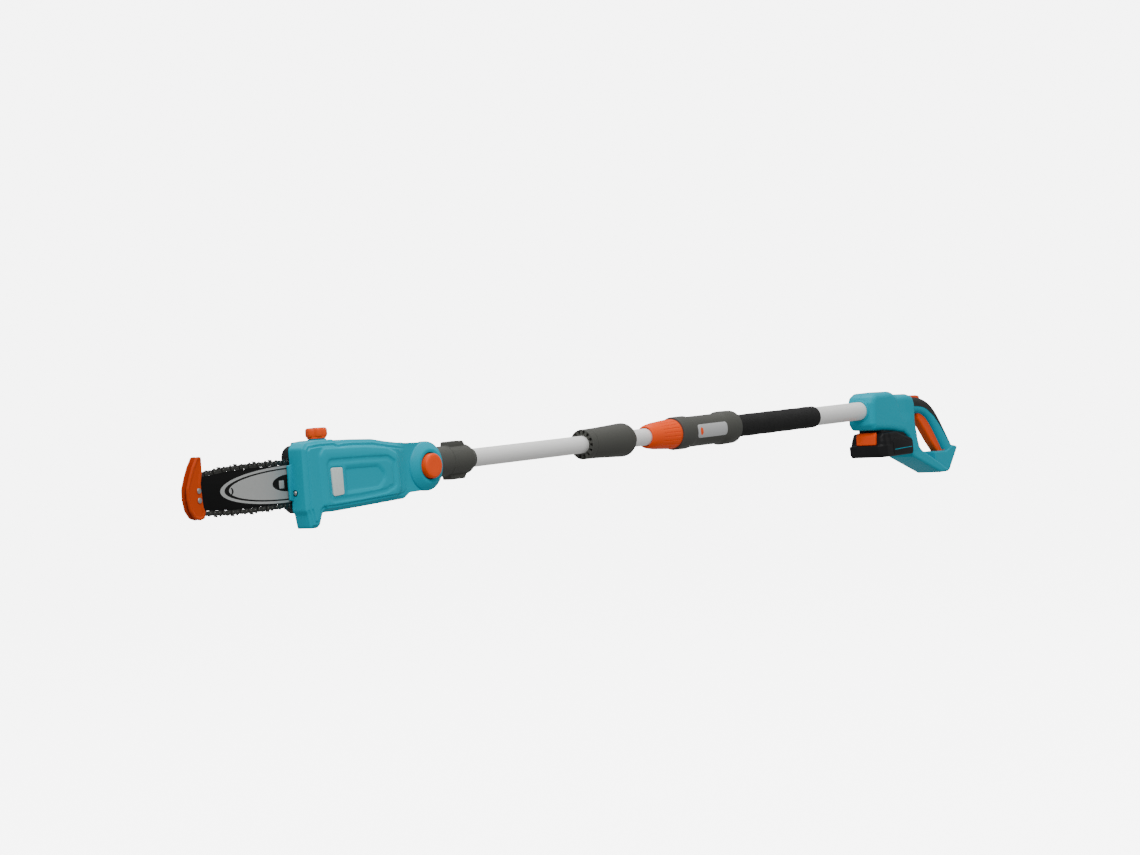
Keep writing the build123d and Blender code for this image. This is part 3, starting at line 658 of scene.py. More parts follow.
def lock_housing():
    """The flanged housing behind the sleeve, with a blank label plate."""
    (front, _, _), (rear, _, flange_r) = span("twist_lock_housing")
    barrel_r = 25.5
    profile = [(front, 17)] + fillet(front, 27.4, 2.2, -1) + [(front + 20, 27.6), (front + 31, 27.5)]
    profile += [(front + 35, 26.9), (front + 38, 25.9), (front + 41, barrel_r), (rear - 46, barrel_r)]
    profile += [(rear - 43, 25.9), (rear - 40, 27.2), (rear - 37, flange_r), (rear - 20, flange_r)]
    profile += fillet(rear, 27.9, 3.4, 1) + [(rear, 19.4), (rear - 4, 19.2)]
    housing = turned("x", profile, segments=96, closed=False)
    piece("lock_housing_skin", housing, "dark_grey_plastic", "handle", ("twist_lock_housing",))
    (low_x, _, low_z), (high_x, _, high_z) = span("label_plate")
    outline = dense(rounded_box((low_x, low_z), (high_x, high_z), 6, 6), 1.5)
    layers = [(1, -0.6), (1, 0.1)]
    layers += [(share, 0.35) for share in (0.985, 0.85, 0.7, 0.55, 0.4, 0.25, 0.1, 0.02)]
    rings = [on_barrel(scaled(outline, share), barrel_r + lift) for share, lift in layers]
    piece("label_plate_skin", skin(rings), "silver_plastic", "handle", ("label_plate",))
    patch = label_strip(low_x + 6, low_x + 14, barrel_r + 0.45)
    piece("label_strip", patch, "orange_plastic", "handle")


def label_strip(low_x, high_x, radius):
    """A plain oval printed patch on the curved label plate."""
    middle, half = (low_x + high_x) / 2, (high_x - low_x) / 2
    angles = [2 * pi * i / 28 for i in range(28)]
    rings = []
    for share, lift in ((1.0, -0.2), (1.0, 0.0), (0.5, 0.0), (0.02, 0.0)):
        oval = [(middle + half * share * cos(a), 6.5 * share * sin(a)) for a in angles]
        rings.append(on_barrel(oval, radius + lift))
    return skin(rings)


def foam_grip():
    """The foam sleeve, a little uneven along its length and rounded at its ends."""
    (front, _, _), (rear, _, high) = span("foam_grip")
    radius = high - 0.3
    profile = [(front, 16.6)] + fillet(front, radius, 1.6, -1)
    steps = 40
    for i in range(1, steps):
        x = front + 3 + (rear - front - 6) * i / steps
        profile.append((x, radius + 0.18 * sin(x * 0.11) + 0.1 * sin(x * 0.37)))
    profile += fillet(rear, radius, 1.8, 1) + [(rear, 16.6)]
    sleeve = turned("x", profile, segments=72, closed=False)
    foam = piece("foam_grip_skin", sleeve, "foam", "handle", ("foam_grip",))


def yoke():
    """The dark fork that carries the head: knuckle, round neck, two eared lugs and a cone."""
    half, knuckle_r, neck_r = 23.0, 27.5, 22.8
    neck_x, end_x = -1125, -1018
    knuckle = fillet(-half, knuckle_r, 1.5, -1) + fillet(half, knuckle_r, 1.5, 1)
    knuckle = turned("y", knuckle, TILT_CENTRE, 64)
    arm = rounded_box((JOINT_X, -neck_r), (neck_x + 9, neck_r), 0)
    arm = slab_xz(arm, -half, half, 1.0)
    neck = [(neck_x, 0.1), (neck_x, 22.0), (neck_x + 1, neck_r), (-1040, neck_r), (-1034, neck_r)]
    neck += [(-1031, 22.4), (-1029, 21.6), (-1026, 19.6), (-1022.5, 17.2), (-1021, 16.4), (-1018.6, 16.2)]
    neck += [(end_x, 15.6), (end_x, 14.05)]
    neck = turned("x", neck, segments=72, closed=False)
    ear = rounded([(-1074, 18, 0), (-1072, 28.6, 2.5), (-1041, 28.6, 3), (-1033.5, 18, 0)])
    ear = slab_xz(ear, -9, 9, 1.2)
    under = ([(x, -y, -z) for x, y, z in ear[0]], ear[1])
    rib = turned("x", fillet(-1076, 23.4, 0.6, -1) + fillet(-1073, 23.4, 0.6, 1), segments=72)
    shape = join(knuckle, arm, neck, ear, under, rib)
    piece("yoke_skin", shape, "dark_grey_plastic", "inner_pole", ("front_yoke",))


# ---- the cutting head

# outlines as (x, z, corner radius)
HEAD_REAR = [
    (-1308, 49, 12), (-1264, 46.2, 20), (-1236, 41, 20), (-1202, 36, 12), (-1183, 34.6, 6),
    (JOINT_X - 2, 33.5, 3), (JOINT_X - 2, -37, 3), (-1190, -37.5, 6), (-1203, -45, 5), (-1282, -47.8, 20),
]
HEAD_CORNERS = [
    (HEAD_FRONT_X, -44, 5), (HEAD_FRONT_X, 43, 6), (-1401, 51, 8), (-1376, 52.4, 8), (-1346, 51.6, 4),
    (-1338, 48.2, 3), (-1330, 49.2, 4), *HEAD_REAR, (-1352, -50, 6), (-1376, -49.5, 5), (-1383, -66, 5),
    (-1389, -70, 4), (-1403, -70, 5), (-1406.5, -50, 3),
]
PANEL = [
    (-1381, 32, 10), (-1372, 41.5, 8), (-1290, 38.5, 30), (-1240, 33, 14), (-1216, 22, 12), (-1210, -30, 10),
    (-1226, -41.5, 8), (-1300, -45, 20), (-1370, -46.5, 8), (-1379, -40, 8),
]
RAISED = [
    (-1369, 24.5, 10), (-1294, 23, 14), (-1240, 20.5, 10), (-1226, 12, 6), (-1226, -26, 8), (-1248, -33, 12),
    (-1300, -36, 12), (-1366, -37, 10),
]
RECESS = [
    (-1330, 8.8, 3), (-1262, 7, 12), (-1250, -4, 9), (-1250, -12, 9), (-1262, -22.5, 10), (-1330, -24, 3),
]
WINDOW = [(-1362, 13, 4), (-1338, 12, 3), (-1337.5, -28, 3), (-1360, -29.5, 4)]


def head_depth(x, z, away):
    """How far the near side of the head stands out from the bar's plane."""
    flat = list(zip(x, z))
    panel = distance(flat, rounded(PANEL))
    raised = distance(flat, rounded(RAISED))
    recess = distance(flat, rounded(RECESS))
    window = distance(flat, rounded(WINDOW))
    front = ease(-x, 1388, 1396)
    width = 4.0 + 3.0 * ease(x, -1405, -1395)
    depth = 31.4 - width * 0.55 * rim(away, width)
    depth -= 1.4 * front * (1 - ease(away, 0, 9))
    depth += 1.3 * ease(away, 3.4, 5.0) + 1.4 * ease(away, 8.4, 10.2)
    depth -= 0.5 * ease(away, 5.4, 8.2) * (1 - ease(away, 8.4, 10.2))
    depth += 2.6 * ease(panel, -1.0, 3.2) + 0.8 * ease(panel, 3, 9)
    depth -= 1.3 * ease(raised, -1.2, 1.2)
    depth += 0.8 * ease(raised, 5.5, 7.5) * (1 - ease(recess, -4, -1.5))
    depth -= 1.1 * ease(recess, -1.1, 1.1)
    depth -= 1.2 * ease(window, -0.9, 0.3)
    tail = ease(x, -1222, -1190)
    foot = ease(-z, 46, 50)
    depth = depth * (1 - tail) + 28.5 * tail
    depth -= 6.5 * ease(-np.hypot(x - JOINT_X, z - JOINT_Z), -20.5, -19)
    return depth * (1 - foot) + np.minimum(depth, 34.0) * foot


def near_shell():
    """The near half of the head's casing, with its contour ridges, raised panel and recess."""
    outline = dense(rounded(HEAD_CORNERS), 1.6)
    steps = [(PANEL, (-1, 0.2, 1.2, 2.2, 3.2, 5, 7, 9)), (RAISED, (-1.3, -0.4, 0.4, 1.3, 5.4, 6.5, 7.6)),
             (RECESS, (-4, -2.8, -1.4, -0.5, 0.5, 1.2)), (WINDOW, (-1, -0.3, 0.4))]

    def base(x):
        return -4.0 if x < -1398 else HEAD_SPLIT_Y

    shell = relief(outline, head_depth, base, -1, lines=steps)
    front, lug_x = HEAD_FRONT_X, HEAD_FRONT_X - 6.6
    lug = rounded([(front + 2, 22, 0), (lug_x, 20, 1), (lug_x, -28, 1), (front + 2, -30, 0)])
    lug = slab_xz(lug, -8, -4, 0.8)
    cheek = [(-22, 36.4), (-28.6, 36.4), (-29.8, 36), (-31, 34.8), (-34.5, 30.2), (-37, 26.6), (-37.8, 25)]
    cheek += [(-38, 23.6), (-37.6, 20.6), (-36.6, 19.6), (-30, 19.4)]
    cheek = turned("y", cheek, TILT_CENTRE, 96, closed=False)
    piece("head_shell_near", join(shell, lug, cheek), "turquoise_plastic", "head", ("head_housing_near",))
    centre = (0, *(v / MM for v in JOINTS["tension_screw_turn"]["pos_m"][1:]))
    ring = [(front + 0.5, 4.4), (front - 0.5, 4.4), (front - 0.6, 3.5), (front + 3, 3.3)]
    piece("tension_seat", turned("x", ring, centre, 32, closed=False), "black_plastic", "head")
    dome = [(front - 2.2, 0.4), (front - 2.1, 1.6), (front - 1.6, 2.6), (front - 0.7, 3.2), (front + 12, 3.2)]
    screw = turned("x", dome, centre, 32)
    piece("tension_screw_head", screw, "steel", "tensioner", ("chain_tension_screw",))
    window = rounded(WINDOW, 6)
    rings = [(0.95, -35.0), (0.96, -37.3), (0.93, -37.9), (0.85, -38.1), (0.5, -38.2), (0.15, -38.2)]
    glass = skin([[(x, y, z) for x, z in scaled(window, share)] for share, y in rings])
    piece("oil_window_skin", glass, "clear_window", "head", ("oil_window",))


def far_shell():
    """The far half behind the sprocket cover, with slanted cooling slots over the motor."""
    corners = [(COVER_END_X, 49, 2), *HEAD_REAR, (COVER_END_X, -49, 2)]
    slot_corners = [[(x - 6, -19, 2), (x - 1.5, -19, 2), (x + 6, 9, 2), (x + 1.5, 9, 2)]
                    for x in (-1296 + 9 * i for i in range(6))]
    slots = [rounded(slot) for slot in slot_corners]

    def depth(x, z, away):
        face = HEAD_FAR_Y - 0.2 - 3.6 * rim(away, 6)
        face -= 1.2 * (1 - ease(away, 7, 8.6))
        for slot in slots:
            face -= 2.2 * ease(distance(list(zip(x, z)), slot), -0.2, 0.8)
        tail = ease(x, -1214, -1190)
        return face * (1 - tail) + 28.0 * tail

    steps = [(slot, (-0.3, 0.3, 0.9)) for slot in slot_corners]
    shell = relief(dense(rounded(corners), 1.8), depth, plane(HEAD_SPLIT_Y), 1, 1.8, lines=steps)
    cheek = [(22, 36.4), (28.6, 36.4), (30.4, 35.6), (33, 32), (35.4, 28), (36, 26.6), (36, 12), (35, 9.5)]
    cheek = turned("y", cheek, TILT_CENTRE, 96, closed=False)
    piece("head_shell_far", join(shell, cheek), "turquoise_plastic", "head", ("head_housing_far",))


def sprocket_cover():
    """The black cover over the sprocket, ribbed, with a knob recess for the bar nut."""
    front, rear = (corner[0] for corner in span("sprocket_cover"))
    corners = [(front, -43, 4), (front, 33, 6), (-1391.5, 41.5, 9), (-1383, 46.5, 8), (rear, 50, 2),
               (rear, -49, 2), (-1388, -49, 5)]

    def depth(x, z, away):
        face = HEAD_FAR_Y - 0.2 - 8 * rim(away, 8)
        ring = np.hypot(x - SPROCKET_X, z - BAR_Z)
        face -= 1.4 * ease(ring, 29, 30.4) * ease(-ring, -33.4, -32)
        for rib in range(5):
            across = 1 - ease(np.abs(z + 24 - 12 * rib) - 0.8, -0.5, 0.6)
            face -= 1.3 * across * (ring < 27) * ease(away, 6, 7)
        return face

    shell = relief(dense(rounded(corners), 1.8), depth, plane(HEAD_SPLIT_Y), 1, 1.4)
    piece("sprocket_cover_skin", shell, "black_plastic", "head", ("sprocket_cover",))


def filler_knob():
    """The lobed oil cap on its neck."""
    low, high = (corner[2] for corner in span("oil_cap"))

    def lobed(angle, place, radius):
        if radius < 14.3:
            return place, radius
        lobe = 0.5 + 0.5 * cos(6 * angle)
        return place, radius - 2.6 * (1 - lobe**0.7)

    profile = [(low + 8, 11.6), (low + 8, 13.8), (55.8, 13.8), (56.2, 14.6), (56.8, 15.4), (58.4, 15.9)]
    profile += [(60.5, 16), (65, 15.9), (67.2, 15.4), (68.4, 14.4), (high, 12.6), (high, 10)]
    profile += [(high - 0.8, 8.3), (high - 0.8, 1.5)]
    cap = turned("z", profile, (KNOB_X, 0, 0), 96, lobed)
    piece("oil_cap_skin", cap, "orange_plastic", "oil_filler", ("oil_cap",))
    neck = [(47, 10), (47, 13.8), (52, 13.8), (52.6, 13.2), (52.6, 12.2), (54.4, 12)]
    neck = turned("z", neck, (KNOB_X, 0, 0), 64)
    piece("filler_neck_skin", neck, "turquoise_plastic", "head", ("filler_neck",))


def tilt_button():
    """The orange push button over the tilt joint, hollow so that its spring has room."""
    (_, front, _), (_, rear, _) = span("tilt_button")
    radius, inside = 18.3, front + 3.4
    profile = [(inside, 0.4), (inside, 15.3), (rear, 15.6), (rear, radius), (inside, radius)]
    profile += [(front + 2.2, 18.0), (front + 1.2, 17.2), (front + 0.35, 15.8), (front, 14.2)]
    profile += [(front + 0.25, 8), (front + 0.35, 0.4)]
    button = turned("y", profile, TILT_CENTRE, 80)
    piece("tilt_button_skin", button, "orange_plastic", "tilt_knob", ("tilt_button",))
    seat = [(-35, 19.5), (-35.6, 19.5), (-35.6, 15.7), (-35, 15.7)]
    piece("tilt_button_seat", turned("y", seat, TILT_CENTRE, 64, closed=False), "black_plastic", "head")


# ---- bar, label, chain and tip guard


def rail(grow):
    """The line round the bar and the sprocket, grown by an even amount."""
    flank = [(-1408, 26.5), (-1440, 27), (-1490, 27.3), (-1532, 26.2)]
    upper = [(x, BAR_Z + half + grow) for x, half in flank]
    nose = arc(NOSE_X, BAR_Z, NOSE_R + grow, 94, 266, 24)
    lower = [(x, 2 * BAR_Z - z) for x, z in reversed(upper)]
    return upper + nose + lower + arc(SPROCKET_X, BAR_Z, 23.5 + grow, -75, 75, 12)


def half_oval(tip, end, half, middle=BAR_Z, steps=28):
    """A half oval along the bar with its point at the nose side."""
    angles = [radians(90 - 180 * i / steps) for i in range(steps + 1)]
    return [(end + (tip - end) * cos(a), middle + half * sin(a)) for a in angles]


def bar():
    """The guide bar with its printed label, a plain crescent and moon on it, and the bolt slot's block."""
    flanks = [p for p in rail(0) if p[0] < -1400]
    outline = flanks + [(-1398, BAR_Z - 20), (-1398, BAR_Z + 20)]
    groove = slab_xz(outline, -BAR_HALF, BAR_HALF, 0.4)
    piece("bar_skin", groove, "bar_paint", "head", ("guide_bar",))
    near = -BAR_HALF
    end = HEAD_FRONT_X
    layers = [("label_border", -1546, 26.0, BAR_Z, 0.10, "label_foil"),
              ("label_line", -1538, 22.6, BAR_Z, 0.16, "bar_paint"),
              ("label_field", -1529.5, 20.6, BAR_Z, 0.22, "label_foil"),
              ("label_crescent", -1444.5, 12.0, BAR_Z + 1.5, 0.27, "bar_paint")]
    for name, tip, half, middle, lift, slot in layers:
        plate = slab_xz(half_oval(tip, end, half, middle), near - lift, near, 0.02, 1)
        piece(name, plate, slot, "head", ("bar_label",) if name == "label_border" else ())
    moon = arc(-1526, BAR_Z - 1, 5.2, -72, 72, 10) + arc(-1530.4, BAR_Z - 1, 6.4, 48, -48, 10)
    piece("label_moon", slab_xz(moon, near - 0.3, near, 0.02, 1), "bar_paint", "head")
    low_x, high_x = (corner[0] for corner in span("bar_guide_block"))
    block = rounded_box((low_x, BAR_Z - 5.6), (high_x, BAR_Z + 5.6), 1)
    block = slab_xz(block, near - 0.4, BAR_HALF, 0.3)
    piece("bar_block_skin", block, "label_foil", "head", ("bar_guide_block",))


# the chain's links, with one rivet at 0 and the next a pitch along
PITCH = 8.4
STRAP = [
    (-3.6, 0), (-2.8, -2.8), (0, -3.5), (4.2, -3.1), (PITCH, -3.5), (11.2, -2.8), (12.0, 0), (11.1, 2.8),
    (PITCH, 3.5), (4.2, 2.6), (0, 3.5), (-2.7, 2.8),
]
CUTTER = [
    (-3.6, 0), (-2.8, -2.9), (0, -3.5), (PITCH, -3.5), (11.2, -2.8), (12.0, 0.4), (11.3, 4.5), (9.2, 4.9),
    (7.6, 3.6), (6.2, 1.2), (4.4, 1.3), (3.4, 3.0), (4.0, 5.2), (-1.6, 4.5), (-3.3, 2.8),
]
DRIVE = [
    (-3.6, 0), (-2.8, 2.8), (0, 3.3), (4.2, 2.6), (PITCH, 3.3), (11.2, 2.8), (12.0, 0), (10.4, -2.9),
    (6.6, -5.8), (4.2, -6.4), (1.8, -5.8), (-2.0, -2.9),
]
TOP_PLATE = [(-1.8, 4.1), (4.1, 4.9), (4.0, 5.7), (-1.9, 4.9)]
BUMPER = [(1.0, 1.6), (7.4, 1.6), (8.6, 4.2), (6.2, 4.4)]


def along_link(shape, start, end, outward):
    """A link's shape moved from its own plane to between two rivets of the chain."""
    a, b = Vector(start), Vector(end)
    u = (b - a).normalized()
    stretch = (b - a).length / PITCH
    v = Vector(outward).normalized()
    points = []
    for x, y, z in shape[0]:
        place = a + u * x * stretch + v * z
        points.append((place.x, y, place.y))
    return points, shape[1]


def chain():
    """Every link of the chain: drive links in the groove, straps outside, cutters left and right."""
    spacing = 0.5
    line = dense(rail(3.6), spacing)
    count = 4 * round(spacing * len(line) / PITCH / 4)
    rivets = [line[int(i * len(line) / count)] for i in range(count)]
    centre_line = rail(0)
    links, tops = [], []
    for i in range(count):
        a, b = rivets[i], rivets[(i + 1) % count]
        along = Vector((b[0] - a[0], b[1] - a[1]))
        out = Vector((-along.y, along.x)) * (1 if area(centre_line) < 0 else -1)
        if i % 2:
            links.append(along_link(slab_xz(DRIVE, -0.65, 0.65, 0.15, 1), a, b, out))
            continue
        kind = (i // 2) % 4
        for side in (-1, 1):
            cutter = kind == 0 and side < 0 or kind == 2 and side > 0
            profile = CUTTER if cutter else STRAP
            low, high = sorted((side * 0.8, side * 2.1))
            links.append(along_link(slab_xz(profile, low, high, 0.2, 1), a, b, out))
            if cutter:
                low, high = sorted((-side * 0.3, side * 2.9))
                tops.append(along_link(slab_xz(TOP_PLATE, low, high, 0.1, 1), a, b, out))
        if kind % 2:
            links.append(along_link(slab_xz(BUMPER, -0.6, 0.6, 0.15, 1), a, b, out))
    piece("saw_chain_links", join(*links), "chain_steel", "head", ("saw_chain",))
    piece("saw_chain_top_plates", join(*tops), "chain_steel", "head")
    rivet = [(-2.75, 0.5), (-2.6, 1.4), (-2.1, 1.8), (2.1, 1.8), (2.6, 1.4), (2.75, 0.5)]
    heads = [turned("y", rivet, (x, 0, z), 10) for x, z in rivets]
    piece("saw_chain_rivets", join(*heads), "chain_steel", "head")


def tip_guard():
    """The two orange plates over the bar's nose, each with a raised outer rim, and their rivets."""
    corners = [(-1589, 46, 3), (-1581, 46, 3), (-1581.5, 24, 6), (-1585, 10, 6), (-1585, 2, 6),
               (-1584, -14, 6), (-1583, -23, 4), (-1580, -29, 3), (-1582, -38, 3), (-1590, -40, 4),
               (-1600, -37, 8), (-1608, -26, 12), (-1611.5, -10, 14), (-1611, 4, 14), (-1604.5, 20, 14),
               (-1598, 33, 8)]
    outline = dense(rounded(corners), 1.2)

    def depth(x, z, away):
        return GUARD_HALF - 1.6 * rim(away, 1.6) - 1.3 * ease(away, 3.2, 4.6)

    for side, node in ((-1, "tip_guard_near"), (1, "tip_guard_far")):
        shell = relief(outline, depth, plane(side * GUARD_GAP), side, 1.2)
        piece(f"{node}_skin", shell, "guard_orange", "head", (node,))
    (low_x, _, low_z), (high_x, outer, high_z) = span("guard_rivets")
    radius = (high_x - low_x) / 2
    profile = [(outer - 0.2, 0.4), (outer - 0.3, 1.8), (outer - 0.7, 3.0), (outer - 1.4, radius)]
    profile += [(GUARD_GAP, radius)]
    heads = []
    for z in (high_z - radius, low_z + radius):
        centre = (low_x + radius, 0, z)
        heads.append(turned("y", [(-y, r) for y, r in profile], centre, 24))
        heads.append(turned("y", profile[::-1], centre, 24))
    piece("guard_rivet_heads", join(*heads), "steel", "head", ("guard_rivets",))


# ---- the rear handle

BODY_CORNERS = [
    (78, -26, 6), (79.5, 14, 8), (84, 25, 8), (97, 31, 10), (146, 31, 12), (157, 28, 8), (169, 23.2, 10),
    (205, 23, 12), (224, 18, 10), (230, 4, 8), (228.5, -30, 20), (231, -60, 10), (236, -76, 4), (222, -88, 3),
    (203.5, -88, 3), (203, -58, 6), (186, -47, 12), (150, -42, 20), (108, -38, 10), (86, -36, 7),
]


def body_depth(x, z, away):
    """Half the rear housing's width: full, with well rounded edges and a soft fold on each side."""
    radius = 11.0 - 5.0 * ease(-z, 30, 55)
    face = BODY_HALF - radius * 0.9 * rim(away, radius)
    fold = x - (167 - 0.5 * (z - 4))
    crease = ease(fold, -1.2, 1.2) * ease(z, -30, -8)
    return face - 1.1 * crease * (1 - ease(fold, 18, 46))


GRIP_PATH = [
    (216, 1.5), (230, 1.2), (244, 0.4), (258, -1.0), (270, -3.0), (282, -6.6), (293, -12.2), (303, -19.6),
    (312, -28.4), (321, -38.8), (331, -51.6), (341, -65.0), (351, -78.6), (360, -91.0), (367, -101),
]


GRIP_R = 14.6
GRIP_POWER = 2.8


def smooth_path(points, steps=3):
    """A curve through every point of a path."""
    ends = [points[0], *points, points[-1]]
    result = []
    for corners in zip(ends, ends[1:], ends[2:], ends[3:]):
        for k in range(steps):
            t = k / steps
            place = []
            for a, b, c, d in zip(*corners):
                curve = (2 * a - 5 * b + 4 * c - d) * t * t + (3 * b - a - 3 * c + d) * t**3
                place.append(0.5 * (2 * b + (c - a) * t + curve))
            result.append(tuple(place))
    return result + [points[-1]]


def lock_off_room():
    """The opening in the grip in which the lock-off button moves."""
    low, high = span("lock_off_button")
    return (low[0] - 1.8, low[1] - 0.8, low[2] - 4.5), (high[0] + 0.2, high[1] + 0.8, high[2] + 4)


def rear_housing():
    """The two halves of the body, the strut and the block under the grip, and the grip itself."""
    outline = dense(rounded(BODY_CORNERS), 2.0)
    halves = [relief(outline, body_depth, plane(side * 0.12), side, 2.0) for side in (-1, 1)]
    strut = [(214, -60, 0), (231, -60, 0), (236.5, -77, 6), (246, -84.5, 4), (280, -99.8, 3),
             (314, -116.8, 3), (336, -127, 3), (334, -131, 2), (306, -131, 5), (212, -94.5, 5),
             (203, -87, 3), (203.5, -62, 0)]
    strut = pillow(rounded(strut, 5), BODY_HALF - 0.35, 5.0)
    block = [(300, -91, 2), (346, -92, 2), (368, -83, 4), (389, -86.5, 5), (353, -130.6, 6), (310, -130.6, 3)]
    block = pillow(rounded(block, 5), GRIP_HALF + 1, 3.6)
    shell = join(*halves, strut, block)
    piece("rear_shell", shell, "turquoise_plastic", "handle", ("rear_housing_near", "rear_housing_far"))
    path = smooth_path(GRIP_PATH)
    grip = skin(sweep(path, GRIP_HALF, GRIP_R, GRIP_POWER))
    grip = piece("rear_grip", grip, "turquoise_plastic", "handle")
    cut(grip, *lock_off_room())
    collar = [(81, 16.5), (77.2, 16.8), (76.6, 18.2), (77.2, 19.8), (80, 20.4)]
    collar = turned("x", collar, segments=64, closed=False)
    piece("tube_collar", collar, "turquoise_plastic", "handle")


def grip_skin():
    """The soft pad over the back of the grip, which narrows towards its lower end."""
    path = [p for p in smooth_path(GRIP_PATH) if 234 < p[0] < 362]
    steps = 40
    half, last = steps // 2, len(path) - 1
    outside, inside = (sweep(path, GRIP_HALF, GRIP_R, GRIP_POWER, (-98, 98), grow, steps)
                       for grow in (0.7, -1.5))
    loops = []
    for i, (outer, inner) in enumerate(zip(outside, inside)):
        keep = half * (0.55 + 0.45 * min(1.0, (last - i) / (last * 0.55)))
        kept = [half + round((k - half) * keep / half) for k in range(steps + 1)]
        loops.append([outer[k] for k in kept] + [inner[k] for k in reversed(kept)])
    pad = piece("grip_pad", skin(loops), "soft_grip", "handle", ("grip_overmould",))
    cut(pad, *lock_off_room())


def trigger():
    """The long orange trigger under the grip."""
    corners = [(263, -17, 3), (265, -27, 5), (277, -38.5, 12), (291, -53.5, 20), (310, -74.5, 20),
               (329, -93, 10), (338, -98.5, 3), (350, -97, 3), (352, -88, 5), (346.7, -78, 6),
               (327.7, -56, 20), (309, -34.5, 20), (296.6, -20, 10), (280, -12.5, 8), (268, -13.5, 4)]
    lever = pillow(rounded(corners), TRIGGER_HALF - 1.2, 4.0)
    piece("trigger_skin", lever, "orange_plastic", "trigger_lever", ("trigger",))


def lock_off_button():
    """The orange button on the grip's back, with ribs across it."""
    low, high = span("lock_off_button")
    front, rear = low[0] - 1, high[0] - 0.6
    top = high[2] + 1.2
    outline = [(front, low[2], 0), (front, top - 1, 2), (low[0] + 6, top, 3), (high[0] - 6, top - 1.2, 4),
               (rear, top - 3.4, 2), (rear, low[2], 0)]
    shapes = [slab_xz(rounded(outline), low[1], high[1], 1.4, 4)]
    rib = [(-6, 0.5), (-5.6, 1.0), (5.6, 1.0), (6, 0.5)]
    for i in range(6):
        along = 10 + 4 * i
        shapes.append(turned("y", rib, (low[0] + along, 0, top - 0.6 - 0.03 * along), 12))
    piece("lock_off_skin", join(*shapes), "orange_plastic", "lock_off", ("lock_off_button",))


def battery():
    """The battery pack: a stepped block with a side panel and stripe, and a latch button in front."""
    (low_x, _, low_z), (high_x, half, high_z) = span("battery_case")
    outline = [(low_x + 5, low_z, 3), (low_x + 1, -80, 3), (low_x, -65.5, 2), (low_x + 5, -63.5, 2),
               (low_x + 7, -50, 3), (low_x + 12, -43.2, 3), (146, high_z - 0.2, 5), (162, -48.6, 8),
               (194, -57.6, 4), (high_x, -63, 3), (high_x, -82, 3), (195, low_z, 3)]
    outline = dense(rounded(outline), 1.6)

    def depth(x, z, away):
        face = half - 0.8 - 3.5 * rim(away, 5)
        face -= 1.6 * ease(z, -66, -64) * (1 - ease(x, 118, 122))
        return face - 2.0 * ease(z, -60, -50)

    def near_depth(x, z, away):
        return depth(x, z, away) - 11.0 * (1 - ease(x, low_x - 2, 107.5))

    shapes = [relief(outline, near_depth, plane(-0.1), -1, 1.8), relief(outline, depth, plane(0.1), 1, 1.8)]
    piece("battery_skin", join(*shapes), "black_plastic", "battery_pack", ("battery_case",))
    panel = [(128, -84, 4), (126, -58, 6), (134, -54.5, 4), (184, -61.4, 4), (194, -66, 4), (194, -80, 4),
             (188, -84.4, 4)]
    stripe = [(131, -75.4, 0.4), (190, -74.0, 0.4), (190, -72.9, 0.4), (131, -74.1, 0.4)]
    for side, name in ((-1, "near"), (1, "far")):
        low, high = sorted((side * (half - 2.0), side * half))
        plate = slab_xz(rounded(panel, 5), low, high, 0.7, 3)
        piece(f"battery_panel_{name}", plate, "black_plastic", "battery_pack")
        low, high = sorted((side * (half - 0.6), side * (half + 0.06)))
        line = slab_xz(rounded(stripe, 2), low, high, 0.1, 1)
        piece(f"battery_stripe_{name}", line, "turquoise_plastic", "battery_pack")
    (low_x, low_y, low_z), (high_x, high_y, high_z) = span("battery_release_button")
    button = [(low_x + 0.6, low_z, 1.5), (low_x, low_z + 3, 1.5), (low_x + 0.2, high_z - 7.5, 2),
              (low_x + 4, high_z, 1.5), (high_x, high_z, 1), (high_x, low_z, 1)]
    button = slab_xz(rounded(button), low_y, high_y, 1.6, 4)
    piece("battery_latch_skin", button, "orange_plastic", "battery_latch", ("battery_release_button",))


# ---- stage, light and camera


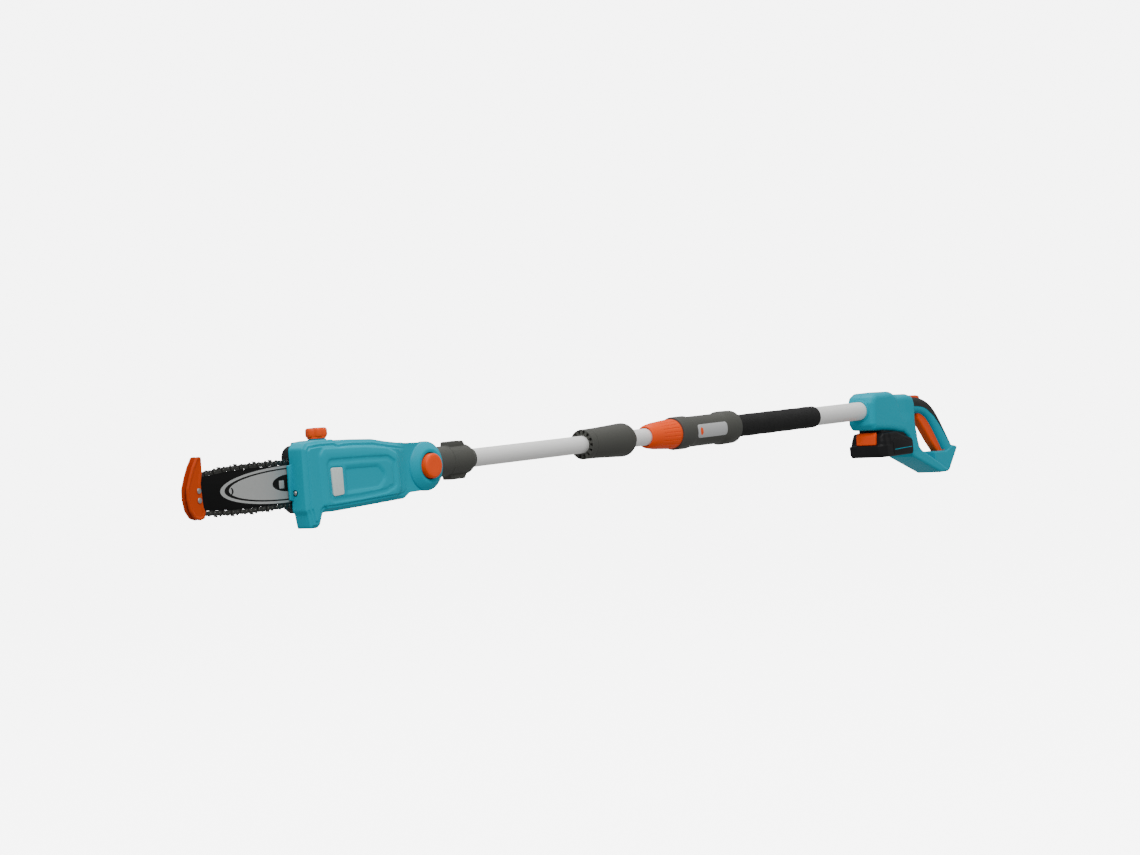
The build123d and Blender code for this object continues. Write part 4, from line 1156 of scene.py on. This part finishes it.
def stage():
    """A pale floor and backdrop, far enough below for its shadows to stay faint."""
    floor_z, flat_end, bend, top = -0.62, 5.0, 3.0, 9.0
    angles = [radians(9 * i) for i in range(1, 11)]
    profile = [(-14, 0.0), (-6, 0.0), (flat_end, 0.0)]
    profile += [(flat_end + bend * sin(a), bend * (1 - cos(a))) for a in angles] + [(flat_end + bend, top)]
    across = [-16, -8, 0, 8, 16]
    middle_x = -0.6
    facing = Matrix.Rotation(radians(-51.55), 3, "Z")
    points = []
    for along, up in profile:
        for side in across:
            place = facing @ Vector((side, along, 0))
            points.append((place.x + middle_x, place.y, floor_z + up))
    columns = len(across)
    faces = [[r * columns + c, r * columns + c + 1, (r + 1) * columns + c + 1, (r + 1) * columns + c]
             for r in range(len(profile) - 1) for c in range(columns - 1)]
    mesh = bpy.data.meshes.new("floor")
    mesh.from_pydata(points, [], faces)
    for polygon in mesh.polygons:
        polygon.use_smooth = True
    paper = Nodes("studio_paper", (0.9, 0.9, 0.9), 0.9, Emission_Color=(1, 1, 1, 1), Emission_Strength=6.0)
    tint = paper.blend(paper.noise(2.0, 2), (0.9, 0.9, 0.9), (0.92, 0.92, 0.92))
    mesh.materials.append(paper.finish(tint, paper.between(paper.noise(40), 0.85, 0.95)))
    obj = bpy.data.objects.new("floor", mesh)
    obj.visible_diffuse = False
    obj.visible_glossy = False
    obj.visible_transmission = False
    obj.visible_shadow = False
    bpy.context.scene.collection.objects.link(obj)


def lamp(name, place, aim, size, power, glossy=True):
    """A round soft light in metres and watts. Without glossy it leaves no highlight."""
    data = bpy.data.lights.new(name, "AREA")
    data.shape, data.size, data.energy = "DISK", size, power
    obj = bpy.data.objects.new(name, data)
    obj.visible_glossy = glossy
    obj.location = place
    obj.rotation_euler = (Vector(aim) - Vector(place)).to_track_quat("-Z", "Y").to_euler()
    bpy.context.scene.collection.objects.link(obj)


def light():
    """An even pale surrounding and three soft lamps."""
    world = bpy.data.worlds.new("studio")
    world.use_nodes = True
    background = world.node_tree.nodes["Background"]
    background.inputs["Color"].default_value = (1, 1, 1, 1)
    background.inputs["Strength"].default_value = 0.4
    bpy.context.scene.world = world
    lamp("key", (-3.2, -2.2, 3.2), (-0.8, 0, 0), 2.6, 140)
    lamp("top", (-0.2, 0.6, 3.4), (-0.4, 0, 0), 3.0, 110)
    lamp("fill", (1.6, -3.4, 1.2), (-0.3, 0, 0), 3.0, 25, glossy=False)


def camera():
    """The camera stands to the front left of the saw head, almost level, a little rolled."""
    place = (-4.23166, -2.74681, 0.168)
    forward = Vector((0.783085, 0.621122, -0.031407)).normalized()
    roll = radians(-4.14)
    level = forward.cross(Vector((0, 0, 1))).normalized()
    upright = level.cross(forward)
    right = level * cos(roll) + upright * sin(roll)
    up = upright * cos(roll) - level * sin(roll)
    data = bpy.data.cameras.new("camera")
    data.sensor_width, data.lens = 36.0, 88.42
    data.clip_start, data.clip_end = 0.1, 60
    obj = bpy.data.objects.new("camera", data)
    turn = Matrix((right, up, -forward)).transposed().to_4x4()
    obj.matrix_world = Matrix.Translation(place) @ turn
    bpy.context.scene.collection.objects.link(obj)
    bpy.context.scene.camera = obj


dress_cad_nodes()
tubes()
coupling()
twist_sleeve()
lock_housing()
foam_grip()
yoke()
near_shell()
far_shell()
sprocket_cover()
filler_knob()
tilt_button()
bar()
chain()
tip_guard()
rear_housing()
grip_skin()
trigger()
lock_off_button()
battery()
stage()
light()
camera()
